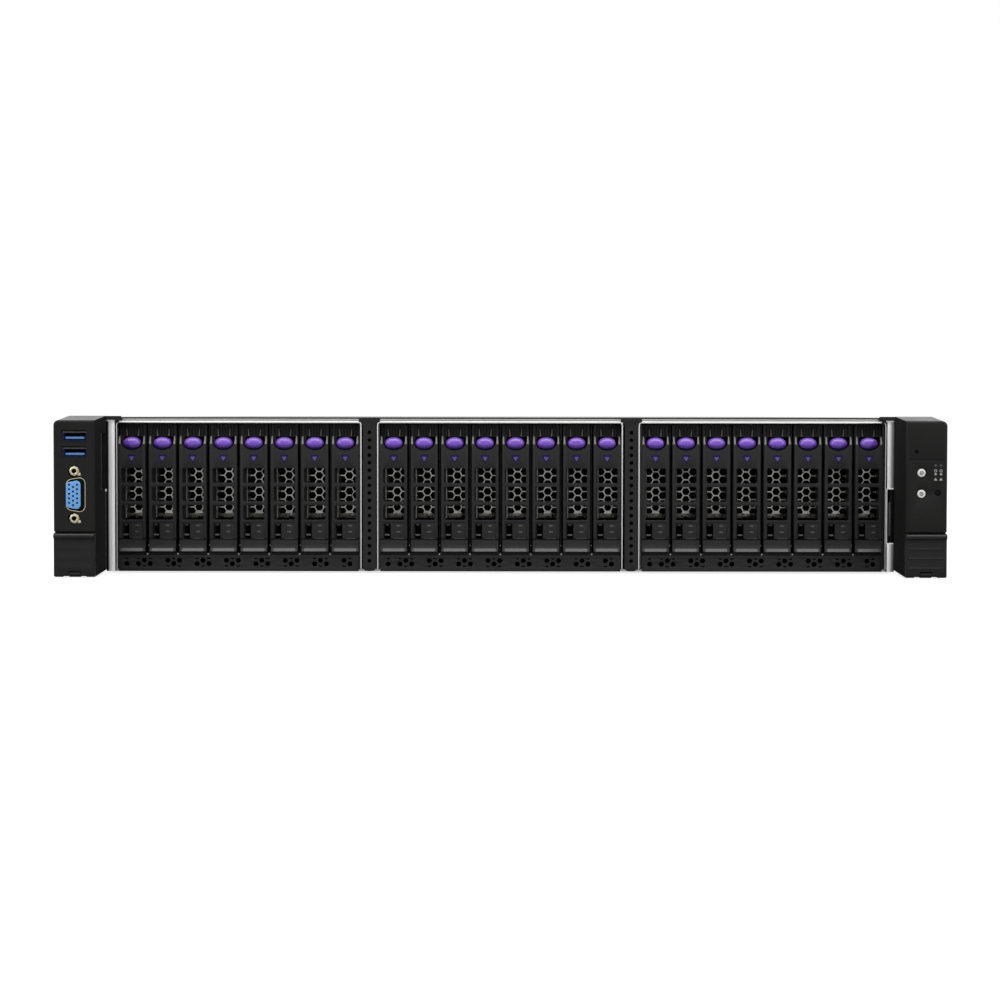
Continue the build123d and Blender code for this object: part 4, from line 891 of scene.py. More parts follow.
# %% Sled
sled_low, sled_high = drawn_box("drive_carrier_02")
SLED_HALF = 7.4
SLED_Z0, SLED_Z1 = sled_low.z, sled_high.z
SLED_FRONT = 5.0
SLED_BACK = 20.0
TUNNEL = (-5.0, 6.7, 18.9, 76.1)
TRAY_T = 1.2
TRAY_BACK = sled_high.y
TRAY_HOLE = (44.0, 40.0)
FOOT_TOP = 18.75
LIP_OUT = 1.1
RIB_STEP = 1.6
FINGER_X = 3.1
FINGER_LEAN = 0.3


def profile(points, x0, x1, edge=0.0):
    """A bar along X whose section in (y, z) is the given outline."""
    return side_slab([points], x0, x1, edge)


def flare(face):
    """The lip's curve in (y, z), from the flat front at y = face down to its edge."""
    return [(face - (face + LIP_OUT) * (k / 5) ** 1.7, 16.4 - 4.0 * k / 5) for k in range(6)]


def foot_section(face):
    """Section of the foot with its flat front at y = face and its lip flaring forward."""
    top = [(SLED_FRONT, SLED_Z0), (SLED_FRONT, FOOT_TOP), (face, FOOT_TOP)]
    return top + flare(face) + [(-LIP_OUT * 0.5, SLED_Z0)]


def lip_band(face):
    """Thin polished band on the lower part of the lip."""
    curve = flare(face)[3:]
    return [(y - 0.06, z) for y, z in curve] + [(y + 0.2, z) for y, z in reversed(curve)]


def sled_body():
    """Tunnel, foot and tray."""
    outer = box_outline(-SLED_HALF, SLED_HALF, SLED_Z0, SLED_Z1, 0.4, 2)
    parts = [(slab([outer, box_outline(*TUNNEL)], SLED_FRONT, SLED_BACK, 0.12), "carrier"),
             (profile(foot_section(SUNK), -RIM_X, RIM_X), "foot"),
             (profile(lip_band(SUNK), -RIM_X, RIM_X), "lip")]
    for side in (-1, 1):
        x0, x1 = sorted((side * RIM_X, side * SLED_HALF))
        parts.append((profile(foot_section(0.0), x0, x1, 0.08), "foot"))
        # the side rims of the lip are lighter plastic: a painted highlight
        x0, x1 = sorted((side * (RIM_X + 0.25), side * (RIM_X + 0.7)))
        parts.append((profile(lip_band(0.0), x0, x1), "rim"))
    hole = centred_box((SLED_BACK + TRAY_BACK) / 2, (SLED_Z0 + SLED_Z1) / 2, *TRAY_HOLE, radius=2.0)
    tray = box_outline(SLED_BACK, TRAY_BACK, SLED_Z0 + 0.6, SLED_Z1 - 0.6)
    parts.append((side_slab([tray, hole], -SLED_HALF, -SLED_HALF + TRAY_T, 0.1), "carrier"))
    return parts


def sled_head():
    """Ribs over the button and two bright fingers."""
    count = int(2 * (SLED_HALF - 1.0) / RIB_STEP)
    x0 = -(count - 1) * RIB_STEP / 2
    rib = bar(-0.3, 0.3, SLED_FRONT - 0.5, SLED_FRONT + 0.1, 77.0, SLED_Z1 - 0.5, 0.08)
    parts = [(repeated(rib, [(x0 + k * RIB_STEP, 0.0, 0.0) for k in range(count)]), "rib")]
    for x, lean in ((-FINGER_X, FINGER_LEAN), (FINGER_X, -FINGER_LEAN)):
        blade = [(x - 0.35, 76.4), (x + 0.35, 76.4), (x - lean + 0.12, 80.4), (x - lean - 0.12, 80.4)]
        parts.append((slab([blade], SLED_FRONT - 1.0, SLED_FRONT - 0.6), "finger"))
    return parts


# %% [markdown]
# A 2.5 inch drive has a standard size, 69.85 mm wide and here 9.5 mm thick. Only its dark front end shows
# through the grille, so a plain case and a dark screen across the tunnel are enough; the screen is painted
# shade.

# %% Drive inside the sled
DRIVE_H = 69.85
DRIVE_T = 9.5


def drive_body():
    """2.5 inch drive: its case, and a dark screen across the tunnel as painted shade."""
    x0 = -SLED_HALF + TRAY_T
    z = (SLED_Z0 + SLED_Z1) / 2
    case = bar(x0, x0 + DRIVE_T, SLED_BACK + 1.0, TRAY_BACK, z - DRIVE_H / 2, z + DRIVE_H / 2, 0.4)
    # a dark screen across the tunnel: painted shade
    screen = bar(TUNNEL[0], TUNNEL[1], SLED_BACK - 0.1, SLED_BACK + 0.6, TUNNEL[2], TUNNEL[3])
    return [(case, "drive"), (screen, "deep")]


SLED = merged(sled_body() + sled_head() + drive_body())
print("sled", len(SLED.polygons), "faces")

# %% [markdown]
# The pieces of one carrier are drawn once, at the middle of a bay, and placed in every bay. The
# first and last carriers have a lever and a button that move on their own, so there the panel and
# the button ride on those bodies.

# %% All twenty-four carriers
for n in BAYS:
    tag = f"{n:02d}"
    carrier = f"carrier_{tag}"
    jointed = f"lever_{tag}" in frame["bodies"]
    lever_body, button_body = (f"lever_{tag}", f"release_{tag}") if jointed else (carrier, carrier)
    panel_for = [f"carrier_lever_{tag}"] if jointed else []
    button_for = [f"carrier_button_{tag}"] if jointed else []
    piece(f"sled_{tag}", SLED, carrier, [f"drive_carrier_{tag}"], BAY_X[n])
    piece(f"grille_{tag}", GRILLE, carrier, (), BAY_X[n])
    piece(f"lever_panel_{tag}", PANEL, lever_body, panel_for, BAY_X[n])
    piece(f"release_button_{tag}", BUTTON, button_body, button_for, BAY_X[n])
print("carriers", len(BAY_X))

# %% [markdown]
# ## Front trim
#
# Between the cages stand two black posts with a column of round vents, and under each cage runs a
# black sill with groups of vents. Bright cut edges of steel frame every cage.

# %% Perforated posts
trim_low, trim_high = drawn_box("divider_posts")
TRIM_W = 7.3
TRIM_HEAD_W = 11.1
TRIM_HEAD_MORE = 0.3         # the head is a little wider than the CAD node's
TRIM_LEGS = (2.7, 82.8)      # foot and top of the two folded sides
FLARE_FOOT = 81.6
FLARE_TOP = 84.3
TRIM_FRONT = -0.5            # the post stands in front of the rail and the hems
TRIM_X = trim_high.x - TRIM_HEAD_W / 2
VENT_R = 1.05
VENT_STEP = 4.2
VENTS = 18
VENT_MIDDLE = 42.8


def perforated_post(x):
    """Post with a flared head, a round foot and a column of vents."""
    top, foot = trim_high.z, trim_low.z
    half, wide = TRIM_W / 2, TRIM_HEAD_W / 2 + TRIM_HEAD_MORE
    sweep = [(wide - (wide - half) * cos(a), FLARE_FOOT + (FLARE_TOP - FLARE_FOOT) * sin(a))
             for a in (pi / 2 * k / 8 for k in range(9))]
    round_foot = rounded([(x - half, FLARE_FOOT, 0.0), (x - half, foot, 2.6), (x + half, foot, 2.6),
                          (x + half, FLARE_FOOT, 0.0)], 0.0, 5)
    outline = round_foot[:-1] + [(x + w, z) for w, z in sweep] + [(x + wide, top), (x - wide, top)]
    outline += [(x - w, z) for w, z in reversed(sweep)][:-1]
    plate = slab([outline], TRIM_FRONT, 0.0, 0.12)
    return pierced(plate, 1, VENTS, (1.0, VENT_STEP), (x, 0.0, VENT_MIDDLE), VENT_R, 16)


posts = []
for x in (-TRIM_X, TRIM_X):
    posts.append((perforated_post(x), "black_steel"))
    for leg in (x - TRIM_W / 2 + 0.4, x + TRIM_W / 2 - 0.4):
        posts.append((bar(leg - 0.4, leg + 0.4, 0.0, trim_high.y, *TRIM_LEGS), "black_steel"))
piece("perforated_posts", posts, "chassis", ["divider_posts"])
print("posts at", round(TRIM_X, 1))

# %% [markdown]
# The sill under a cage lets air in below the drives. Its round holes come in groups of three with
# short slits between their rows. The pattern skips columns, which the even grid of the piercing
# tree can't do, so here the holes are outlines inside the outline of the plate.

# %% Vented sills
sill_low, sill_high = drawn_box("front_sills")
CAGE_NODES = ("drive_cage_left", "drive_cage_middle", "drive_cage_right")
SILL_GAP = 1.3               # from the cage's side wall
SILL_STEP = 3.27
SILL_VENT_R = 1.4
SILL_ROWS = (5.3, 7.2)       # heights of the even and the odd columns of vents
SILL_PLATE_TOP = 10.2
SILL_SHOWN = (0, 1, 4)       # of every five columns, these three are open
SILL_LONE = -3               # one more column of its own at the left
SILL_FIRST = 52.6            # middle of the first group, left of the cage's middle
cage_spans = [(drawn_box(n)[0].x, drawn_box(n)[1].x) for n in CAGE_NODES]


def sill(x0, x1):
    """Upright plate with round vents and slits, and the shelf that closes the bay's floor."""
    holes = []
    for k in [k for k in range(SILL_LONE, 36) if k % 5 in SILL_SHOWN or k == SILL_LONE]:
        x = (x0 + x1) / 2 - SILL_FIRST + k * SILL_STEP
        holes.append(circle_outline(x, SILL_ROWS[(k + 1) % 2], SILL_VENT_R, 12))
        holes.append(centred_box(x, 8.2 if k % 2 else 4.0, 1.8, 0.7, radius=0.3, steps=2))
    plate = slab([box_outline(x0, x1, sill_low.z, SILL_PLATE_TOP, 0.5)] + holes, 0.0, 1.2, 0.1)
    shelf = bar(x0, x1, 1.2, sill_high.y, sill_high.z - 1.2, sill_high.z, 0.1)
    return [(plate, "black_steel"), (shelf, "black_steel")]


sills = []
for x0, x1 in cage_spans:
    sills += sill(x0 + SILL_GAP, x1 - SILL_GAP)
piece("vented_sills", sills, "chassis", ["front_sills"])
print("sills", len(sills))

# %% [markdown]
# Each cage is a box of zinc-plated sheet whose front edges are bare. In the photo they draw a bright line
# round every group of eight bays. A rounded strip in front of each opening gives that line an even width,
# where the thin edge of the CAD node would flicker. Its near-white steel is brighter than bare zinc: a
# painted highlight on the bare edge.

# %% Hems round the cage openings, painted as highlights
HEM_W = 0.62
HEM_REACH = ((0.05, 0.35), (-0.45, -0.05), (-0.75, 0.85))    # from each cage's left and right side wall
HEM_TOP = 84.75
HEM_FOOT = 2.6
HEM_R = 2.4


def hem(x0, x1):
    """A strip with a painted highlight, up one side, over the top and down the other, with round upper
    corners.
    """
    left, right, under = x0 + HEM_W, x1 - HEM_W, HEM_TOP - HEM_W
    outline = [(x0, HEM_FOOT), (left, HEM_FOOT), (left, under, HEM_R - HEM_W),
               (right, under, HEM_R - HEM_W), (right, HEM_FOOT), (x1, HEM_FOOT),
               (x1, HEM_TOP, HEM_R), (x0, HEM_TOP, HEM_R)]
    return slab([rounded(outline, 0.0, 5)], -0.3, 0.5, 0.06)


hems = [(hem(x0 + a, x1 + b), "edge_painted_highlight") for (x0, x1), (a, b) in zip(cage_spans, HEM_REACH)]
piece("cage_hems", hems, "chassis")
print("hems", len(hems))

# %% [markdown]
# The side walls of the chassis end in rounded posts, the brightest things in the picture. A real rounded
# edge mirrors its surroundings as upright bands. Here each post wears narrow flat facets side by side, each
# painted with the reflection, highlight or shade of one band, so the bands stand where the photo has them.
# The right post has a cut-out for a cable, with painted shade behind it.

# %% Fronts of the two outer posts, with painted reflections and shade
POST_FOOT = 1.2
POST_TOP = 85.3
POST_CAP = 0.8
POST_CUT = (17.0, 47.5)      # the right post is cut out here for a cable
LEFT_BANDS = (               # left and right of each band of the left post, and the finish that paints its light or shade
    (-219.1, -218.0, "deep"),
    (-218.0, -217.5, "painted_side_shade"),
    (-217.5, -216.0, "satin"),
    (-216.0, -214.35, "painted_highlight"),
    (-214.35, -213.85, "shade_edge"),
)
RIGHT_BANDS = (
    (214.55, 215.1, "shade_edge"),
    (215.1, 216.4, "painted_highlight"),
    (216.4, 217.3, "satin"),
    (217.3, 218.3, "painted_side_shade"),
    (218.3, 219.05, "grey_edge"),
)
CUT_BANDS = (                # beside and inside the cut-out: a painted reflection beside it, painted shade inside
    (214.0, 215.2, "satin"),
    (217.3, 219.05, "deep"),
)
STREAK = (216.4, 217.2, 2.0, 3.0, 21.0, 40.0)


def post_bands(bands, foot, top):
    """Upright bands side by side, the flat facets of a rounded sheet edge, painted with its reflections and
    shade.
    """
    return [(bar(x0, x1, -0.14, 0.3, foot, top, 0.04), name) for x0, x1, name in bands]


def post_end(side):
    """A cap painted as a highlight on a post's upper end, and a black tab at the roof's corner."""
    cap = sorted((side * 218.3, side * 214.2))
    tab = sorted((side * 214.05, side * 211.9))
    return [(bar(*cap, -0.2, 0.3, POST_TOP - POST_CAP, POST_TOP, 0.1), "painted_highlight"),
            (bar(*tab, -0.9, 0.3, 83.9, 87.0, 0.1), "black_steel")]


def cut_out():
    """The post beside the cable cut-out, painted highlights on its ends and a grey streak on the metal
    behind.
    """
    ends = [(bar(215.1, 218.6, -0.2, 0.3, z - 0.3, z + 0.3, 0.1), "painted_highlight") for z in POST_CUT]
    return post_bands(CUT_BANDS, *POST_CUT) + ends + [(bar(*STREAK, 0.2), "grey_edge")]


left_post = post_bands(LEFT_BANDS, POST_FOOT, POST_TOP - POST_CAP) + post_end(-1)
right_post = post_bands(RIGHT_BANDS, POST_FOOT, POST_CUT[0])
right_post += post_bands(RIGHT_BANDS, POST_CUT[1], POST_TOP - POST_CAP) + post_end(1) + cut_out()
piece("post_fronts", left_post + right_post, "chassis")
print("post parts", len(left_post), len(right_post))

# %% [markdown]
# Over the bays the roof's sheet is rolled under, which shows as a dark seam, a grey band and a bright lower
# edge. A real roll could be swept along a curve. Three thin flat bars are enough, because the camera sees
# them from straight in front; the dark seam on them is painted shade and the bright edge a painted
# highlight.

# %% Rolled front edge of the roof, with painted shade and highlight
roof_low, roof_high = drawn_box("front_roof")
ROLL_HALF = 211.8
ROLL_BANDS = (               # foot, top, front and finish of each band, from the seam down: painted shade, grey, painted highlight
    (86.0, 86.85, 0.5, "shade_edge"),
    (84.3, 86.05, 0.1, "roll"),
    (83.7, 84.35, -0.1, "edge_painted_highlight"),
)

roof = [(bar(roof_low.x, roof_high.x, 1.2, roof_high.y, roof_high.z - 1.2, roof_high.z, 0.15), "cover")]
for foot, top, front, finish_name in ROLL_BANDS:
    roof.append((bar(-ROLL_HALF, ROLL_HALF, front, 2.2, foot, top, 0.08), finish_name))
piece("rolled_roof", roof, "chassis", ["front_roof"])
print("roof parts", len(roof))

# %% [markdown]
# Thin walls part the bays, and at their foot two small cut tips of each wall catch the light. All
# are copies of one wedge, put on a list of points by the copies tree.

# %% Bright tips of the cage partitions
TIP_PLACES = ((0.9, 10.7), (6.5, 15.3))    # depth and height of the two tips of each wall

walls = [(BAY_X[n] + BAY_X[n + 1]) / 2 for n in range(1, 24) if n % 8]
wedge = slab([[(-0.5, -0.35), (0.5, -0.35), (0.2, 0.4), (-0.2, 0.4)]], -0.6, 1.4, 0.1)
tips = repeated(wedge, [(x, y, z) for x in walls for y, z in TIP_PLACES])
piece("partition_tips", [(tips, "roll")], "chassis")
print("walls with tips", len(walls))

# %% [markdown]
# ## Ears, doors and ports
#
# The ears are moulded housings whose shape the CAD model already has. What it lacks is the small
# round on every edge that makes plastic look moulded. So their meshes are copied, their loose
# triangles are merged and dissolved to flat faces, and a Bevel modifier rounds the sharp edges.

# %% Rounded copies of CAD nodes
def softened(node, edge, segments=2):
    """A copy of a node's mesh in drawing units, with its sharp edges rounded."""
    data = NODES[node].data.copy()
    data.transform(TO_DRAWING)
    bm = opened(data, 1e-3)
    bmesh.ops.dissolve_limit(bm, angle_limit=radians(1.0), verts=bm.verts, edges=bm.edges)
    holder = in_scene("holder", written(bm, data))
    round_off = holder.modifiers.new("edges", "BEVEL")
    round_off.width = edge
    round_off.segments = segments
    round_off.limit_method = "ANGLE"
    round_off.angle_limit = radians(32.0)
    round_off.use_clamp_overlap = True
    return settled(holder)


def split_by_depth(data, y):
    """Two meshes: the faces in front of a depth, and the faces behind it."""
    halves = []
    for behind in (False, True):
        bm = bmesh.new()
        bm.from_mesh(data)
        others = [f for f in bm.faces if (f.calc_center_median().y > y) != behind]
        bmesh.ops.delete(bm, geom=others, context="FACES")
        halves.append(written(bm, bpy.data.meshes.new("half")))
    return halves


# %% [markdown]
# An ear is one node with two materials: a black moulding in front and the painted steel flange behind it.
# They are told apart by depth. The sloping roof of the moulding gets a lighter copy of the plastic where
# light grazes it, a painted sheen, and its inner cheek a duller copy that hardly reflects. The door over
# the rack screws is a piece that flips down.

# %% Ears and their steel brackets
FLANGE_FRONT = -2.0
EAR_EDGE = 0.35
DOOR_EDGE = 0.3
EAR_FRONT = drawn_box("ear_left")[0].y
LEDGE_FOOT = 20.0
ROOF_FOOT = 60.0             # faces of an ear's sloping roof lie higher


def smooth_face(data):
    """Press the grip ridges of a door back into its face; only the right door shows them."""
    for vert in data.vertices:
        if vert.co.y < EAR_FRONT - 0.05 and vert.co.z < LEDGE_FOOT:
            vert.co.y = EAR_FRONT
    return data


def top_face(face):
    """Is this a face of an ear's sloping roof, which carries the painted sheen?"""
    return face.normal.z > 0.8 and face.center.z > ROOF_FOOT


def inner_face(face):
    """Is this a face of an ear's inner cheek?"""
    return abs(face.center.x) < tub_high.x + 1.0 and abs(face.normal.x) > 0.9


for side in ("left", "right"):
    housing, bracket = split_by_depth(softened(f"ear_{side}", EAR_EDGE), FLANGE_FRONT + 0.01)
    whole = merged([(housing, "ear"), (bracket, "black_steel")])
    whole = repainted(repainted(whole, "ear_painted_sheen", top_face), "cheek", inner_face)
    piece(f"ear_housing_{side}", whole, "chassis", [f"ear_{side}"])
    door = softened(f"rack_door_{side}", DOOR_EDGE)
    door = smooth_face(door) if side == "left" else door
    low, high = drawn_box(f"rack_door_{side}")
    # a light line along the door's top edge: a painted highlight
    edge = bar(low.x + 0.6, high.x - 0.6, low.y - 0.05, low.y + 0.3, high.z - 1.0, high.z - 0.6, 0.1)
    piece(f"screw_door_{side}", [(door, "door"), (edge, "door_painted_highlight")], f"rack_door_{side}",
          [f"rack_door_{side}"])
print("ear front", round(EAR_FRONT, 1))

# %% [markdown]
# The left ear has two blue ports and a display port. A port is a steel shell round a tongue, and its mouth
# is dark, so the shell's lip and the tongue's front edge carry the look; the shell's inside is coloured
# dark navy as painted shade. The display port has fifteen pin holes in three rows, which are copies of one
# small dark disc, painted shade in place of holes.

# %% USB ports
usb_low, usb_high = drawn_box("usb_ports")
USB_X = (usb_low.x + usb_high.x) / 2
USB_W = usb_high.x - usb_low.x
USB_H = 5.7
USB_MOUTH = (12.5, 4.9)      # the mouth is a little smaller than the shell
USB_SHIFT = 0.6
USB_Z = (usb_low.z + USB_H / 2, usb_high.z - USB_H / 2)
EAR_FACE = usb_low.y
USB_BACK = usb_high.y


def usb_port(z):
    """Shell with a thin lip, a dark mouth painted as shade, and a blue tongue in its lower half."""
    x, w, h = USB_X + USB_SHIFT, USB_MOUTH[0] / 2, USB_MOUTH[1] / 2
    z -= USB_H / 2 - h

    def mouth(inset, radius=0.0):
        return centred_box(x, z, *USB_MOUTH, inset, radius)

    around = box_outline(USB_X - USB_W / 2, USB_X + USB_W / 2, z - h, z + h + 0.6, 0.4)
    plug = slab([around, mouth(0.05, 0.4)], EAR_FACE + 0.05, EAR_FACE + 1.0)
    shell = slab([mouth(0.0, 0.4), mouth(0.22, 0.25)], EAR_FACE - 0.05, USB_BACK - 1.0, 0.06)
    mouth_shade = slab([mouth(0.2), mouth(0.6)], EAR_FACE + 0.1, USB_BACK - 1.1)
    end = slab([mouth(0.3)], USB_BACK - 1.2, USB_BACK)
    tongue = bar(x - 5.2, x + 5.0, EAR_FACE + 0.4, USB_BACK - 1.0, z - 1.35, z - 0.15, 0.2)
    lip = bar(x - w, x + w, EAR_FACE - 0.12, EAR_FACE + 0.3, z + h - 0.22, z + h, 0.05)
    return [(plug, "ear"), (shell, "navy"), (lip, "brown"), (end, "navy"), (mouth_shade, "navy"),
            (tongue, "tongue")]


usb = usb_port(USB_Z[0]) + usb_port(USB_Z[1])
piece("usb_receptacles", usb, "chassis", ["usb_ports"])
print("usb ports at", round(USB_X, 1), [round(z, 1) for z in USB_Z])

# %% Display port
vga_low, vga_high = drawn_box("vga_shell")
VGA_X = (vga_low.x + vga_high.x) / 2
VGA_Z = (vga_low.z + vga_high.z) / 2
INSERT = (7.8, 16.2)         # blue pin carrier
HOOD = (10.6, 19.8)          # steel rim round the recess, off centre towards the chassis
HOOD_SHIFT = 1.25
JACK_STEP = 25.6
JACK_SHIFT = 0.5
PIN_STEP = 2.45
PIN_ROW = 2.15


def d_outline(size, radius, x):
    """D-shaped outline, long side upright, the narrow side outboard."""
    w, h = size[0] / 2, size[1] / 2
    slant = 0.09 * size[1]
    return rounded([(x + w, VGA_Z - h), (x + w, VGA_Z + h), (x - w, VGA_Z + h - slant),
                    (x - w, VGA_Z - h + slant)], radius, 6)


def jackscrew(z):
    """Jackscrew with a threaded hole and a small spring tab beside it."""
    x = VGA_X + JACK_SHIFT
    bore = circle_outline(x, z, 1.25, 20)
    collar = slab([circle_outline(x, z, 2.75, 8), bore], EAR_FACE - 0.1, EAR_FACE + 2.0, 0.2)
    ring = slab([circle_outline(x, z, 2.3, 28), bore], vga_low.y + 0.1, EAR_FACE, 0.3)
    # a dark floor in the threaded hole: painted shade
    floor = bar(x - 1.2, x + 1.2, EAR_FACE + 1.2, EAR_FACE + 1.8, z - 1.2, z + 1.2)
    tab = slab([[(x + 1.8, z - 2.6), (x + 3.6, z - 2.3), (x + 3.3, z - 0.9), (x + 2.4, z - 0.9)]],
               EAR_FACE - 0.2, EAR_FACE + 0.4, 0.1)
    return [(collar, "gold"), (ring, "gold"), (floor, "deep"), (tab, "gold")]


def display_port():
    """Dark recess with a thin rim, blue insert with pin holes, and jackscrews."""
    x = VGA_X + HOOD_SHIFT
    outer = d_outline(HOOD, 3.2, x)
    inner = d_outline((HOOD[0] - 0.8, HOOD[1] - 0.8), 2.8, x)
    rim = slab([outer, inner], EAR_FACE - 0.3, EAR_FACE + 1.5, 0.08)
    # the recess is a dark plate: painted shade
    recess = slab([inner], EAR_FACE - 0.02, EAR_FACE + 1.0)
    insert = slab([d_outline(INSERT, 2.2, VGA_X)], vga_low.y, EAR_FACE + 8.0, 0.25)
    pin = slab([circle_outline(0.0, 0.0, 0.62, 10)], -0.06, 0.3)
    points = []
    for column, drop in ((-1, 0.25), (0, -0.25), (1, 0.25)):
        for k in range(-2, 3):
            points.append((VGA_X + column * PIN_ROW, vga_low.y, VGA_Z + (k + drop) * PIN_STEP))
    parts = [(rim, "gold"), (recess, "deep"), (insert, "blue"), (repeated(pin, points), "navy")]
    return parts + jackscrew(VGA_Z - JACK_STEP / 2) + jackscrew(VGA_Z + JACK_STEP / 2)

piece("display_port", display_port(), "chassis", ["vga_shell", "vga_insert"])
print("display port at", round(VGA_X, 1), round(VGA_Z, 1))

# %% [markdown]
# The right ear has a power key and an identification key, white with a small raised ring, a sunk
# reset key, a pinhole and two columns of status lamps. Plain rings and dots stand for symbols.

# %% Keys
def key(node, radius, white):
    """A round key in a dark seat. A white key has a plain ring and a dot."""
    low, high = drawn_box(node)
    x, z = (low.x + high.x) / 2, (low.z + high.z) / 2
    cap = slab([circle_outline(x, z, radius, 36)], low.y, high.y, 0.25)
    seat = (EAR_FACE - 0.04, EAR_FACE + 0.2)
    if not white:
        return [(cap, "ear"), (ring(x, z, radius + 0.7, radius + 0.05, *seat), "deep")]
    printed = (low.y - 0.06, low.y + 0.2)
    dot = slab([circle_outline(x, z, radius * 0.12, 12)], *printed)
    return [(cap, "white"), (ring(x, z, radius * 0.46, radius * 0.30, *printed), "deep"), (dot, "deep"),
            (ring(x, z, radius + 0.35, radius + 0.05, *seat, 36), "deep")]


piece("power_key", key("power_button", 2.2, True), "power_button", ["power_button"])
piece("id_key", key("id_button", 2.2, True), "id_button", ["id_button"])
piece("reset_key", key("reset_button", 1.0, False), "reset_button", ["reset_button"])
print("keys", 3)

# %% [markdown]
# The status lamps are light pipes behind small openings. Unlit they are hardly more than specks, so each is
# a thin raised disc, ring or triangle. The pinhole is a dark disc, painted shade in place of a hole.

# %% Status lamps and the pinhole
STATUS_X = (234.9, 237.8)
STATUS_Z = (61.3, 58.4, 56.6, 53.9)
PINHOLE = (224.6, 68.7)
RAISED = (EAR_FACE - 0.05, EAR_FACE + 0.2)


def status_mark(x, k, z):
    """The mark of one row: a lamp, a ring, a dot or, in the lowest row, a triangle."""
    if k == 1:
        return ring(x, z, 0.8, 0.5, *RAISED, 16)
    if k == len(STATUS_Z) - 1:
        return slab([[(x - 0.95, z - 0.7), (x + 0.95, z - 0.7), (x, z + 0.8)]], *RAISED)
    return slab([circle_outline(x, z, 0.6, 16)], *RAISED)


lamps = [(status_mark(x, k, z), "print" if k else "lens") for x in STATUS_X for k, z in enumerate(STATUS_Z)]
lamps.append((slab([circle_outline(*PINHOLE, 1.15, 20)], EAR_FACE - 0.02, EAR_FACE + 0.2), "deep"))
piece("status_lamps", lamps, "chassis")
print("lamps and pinhole", len(lamps))

# %% [markdown]
# On the inner sides of the ears a few edges show: the cut edge of the steel flange, the lip of the left
# ear's notch for a cable, and a round catch for each door. Thin bars and rings laid on the cheeks stand for
# them; the grey and white bars are painted highlights on lit edges.

# %% Edges on the inner sides of the ears, with painted highlights
EDGE_T = 0.12
CHEEK_NOTCH = (47.0, 78.0)
CATCH_Z = 13.0
CATCH_Y = -25.0

left, right = tub_low.x, tub_high.x
edges = [(bar(left - 0.3, left + EDGE_T, -3.3, -2.5, 2.6, CHEEK_NOTCH[0] - 1.5), "grey_edge"),
         (bar(left - 0.3, left + EDGE_T, -16.5, -15.9, *CHEEK_NOTCH), "grey_edge"),
         (bar(left - 0.3, left + 0.6, -4.6, -3.0, CHEEK_NOTCH[0] - 1.4, CHEEK_NOTCH[0], 0.2), "edge_painted_highlight")]
for x, side in ((left, -1), (right, 1)):
    catch = [circle_outline(CATCH_Y, CATCH_Z, radius, 20) for radius in (1.5, 1.1)]
    edges.append((side_slab(catch, *sorted((x - side * EDGE_T, x + side * 0.3))), "rib"))
piece("ear_edges", edges, "chassis")
print("ear edges", len(edges))

# %% [markdown]
# ## Rear
#
# The photo doesn't show the rear, so it has what such servers usually have. Two network ports and
# a double USB port stand in the panel. A real port is a folded steel shell. From outside only its
# rim, its dark inside and the contacts count, so each is made of nested tubes.

# %% Rear ports
REAR = drawn_box("rear_panel")[1].y
NETWORK = (16.0, 13.5)       # width and height
DOUBLE_USB = (13.2, 13.0)
PORTS = ((-190.0, NETWORK), (-170.0, NETWORK), (-148.0, DOUBLE_USB))
PORT_FOOT = 8.8
PORT_WALL = 1.2
PORT_DEEP = 10.0


def rear_port(x, size):
    """Steel shell round a dark mouth, with its contacts or its two blue tongues."""
    top = PORT_FOOT + size[1]
    insets = (0.0, PORT_WALL - 0.1, PORT_WALL + 0.2)
    outer, mouth, inner = [centred_box(x, top - size[1] / 2, *size, inset) for inset in insets]
    parts = [(slab([outer, mouth], REAR, REAR + 0.3, 0.1), "cut_edge"),
             (slab([mouth, inner], REAR - PORT_DEEP, REAR + 0.1), "deep"),
             (slab([mouth], REAR - PORT_DEEP - 0.2, REAR - PORT_DEEP), "deep")]
    if size == NETWORK:
        for left in [x - 4.6 + 1.2 * k for k in range(8)]:
            parts.append((bar(left, left + 0.5, REAR - 7.0, REAR - 1.0, top - 2.4, top - 1.9), "gold"))
    else:
        for z in (PORT_FOOT + 3.0, PORT_FOOT + 8.4):
            parts.append((bar(x - 4.8, x + 4.8, REAR - 8.0, REAR - 1.0, z, z + 1.8, 0.1), "tongue"))
    return parts


rear_ports = []
for x, size in PORTS:
    rear_ports += rear_port(x, size)
piece("rear_ports", rear_ports, "chassis")
print("rear ports", len(PORTS))

# %% [markdown]
# Warm air leaves through a honeycomb in the rear panel. A painted pattern would look flat, so a thin
# pierced plate stands on the panel with a dark sheet behind it, painted shade that reads as depth.
# Cutting the CAD node isn't allowed, and a painted pattern would look flat.

# %% Vents of the rear panel
REAR_VENT_X = (-134.0, 118.0)
REAR_VENT_Z = (3.4, 22.6)
REAR_VENT_STEP = (4.2, 4.8)


def pierced_strip(x0, x1, z0, z1, back, radius, step, finish_name):
    """A thin pierced plate with a dark sheet behind it, painted shade for depth."""
    columns, rows = int((x1 - x0 - 2.0) / step[0]), int((z1 - z0 - step[1] / 2) / step[1])
    middle = ((x0 + x1) / 2, back, (z0 + z1) / 2 - step[1] / 4)
    plate = bar(x0, x1, back + 0.1, back + 0.9, z0, z1)
    return [(pierced(plate, columns, rows, step, middle, radius, 6, step[1] / 2), finish_name),
            (bar(x0 + 0.5, x1 - 0.5, back, back + 0.12, z0 + 0.5, z1 - 0.5), "deep")]


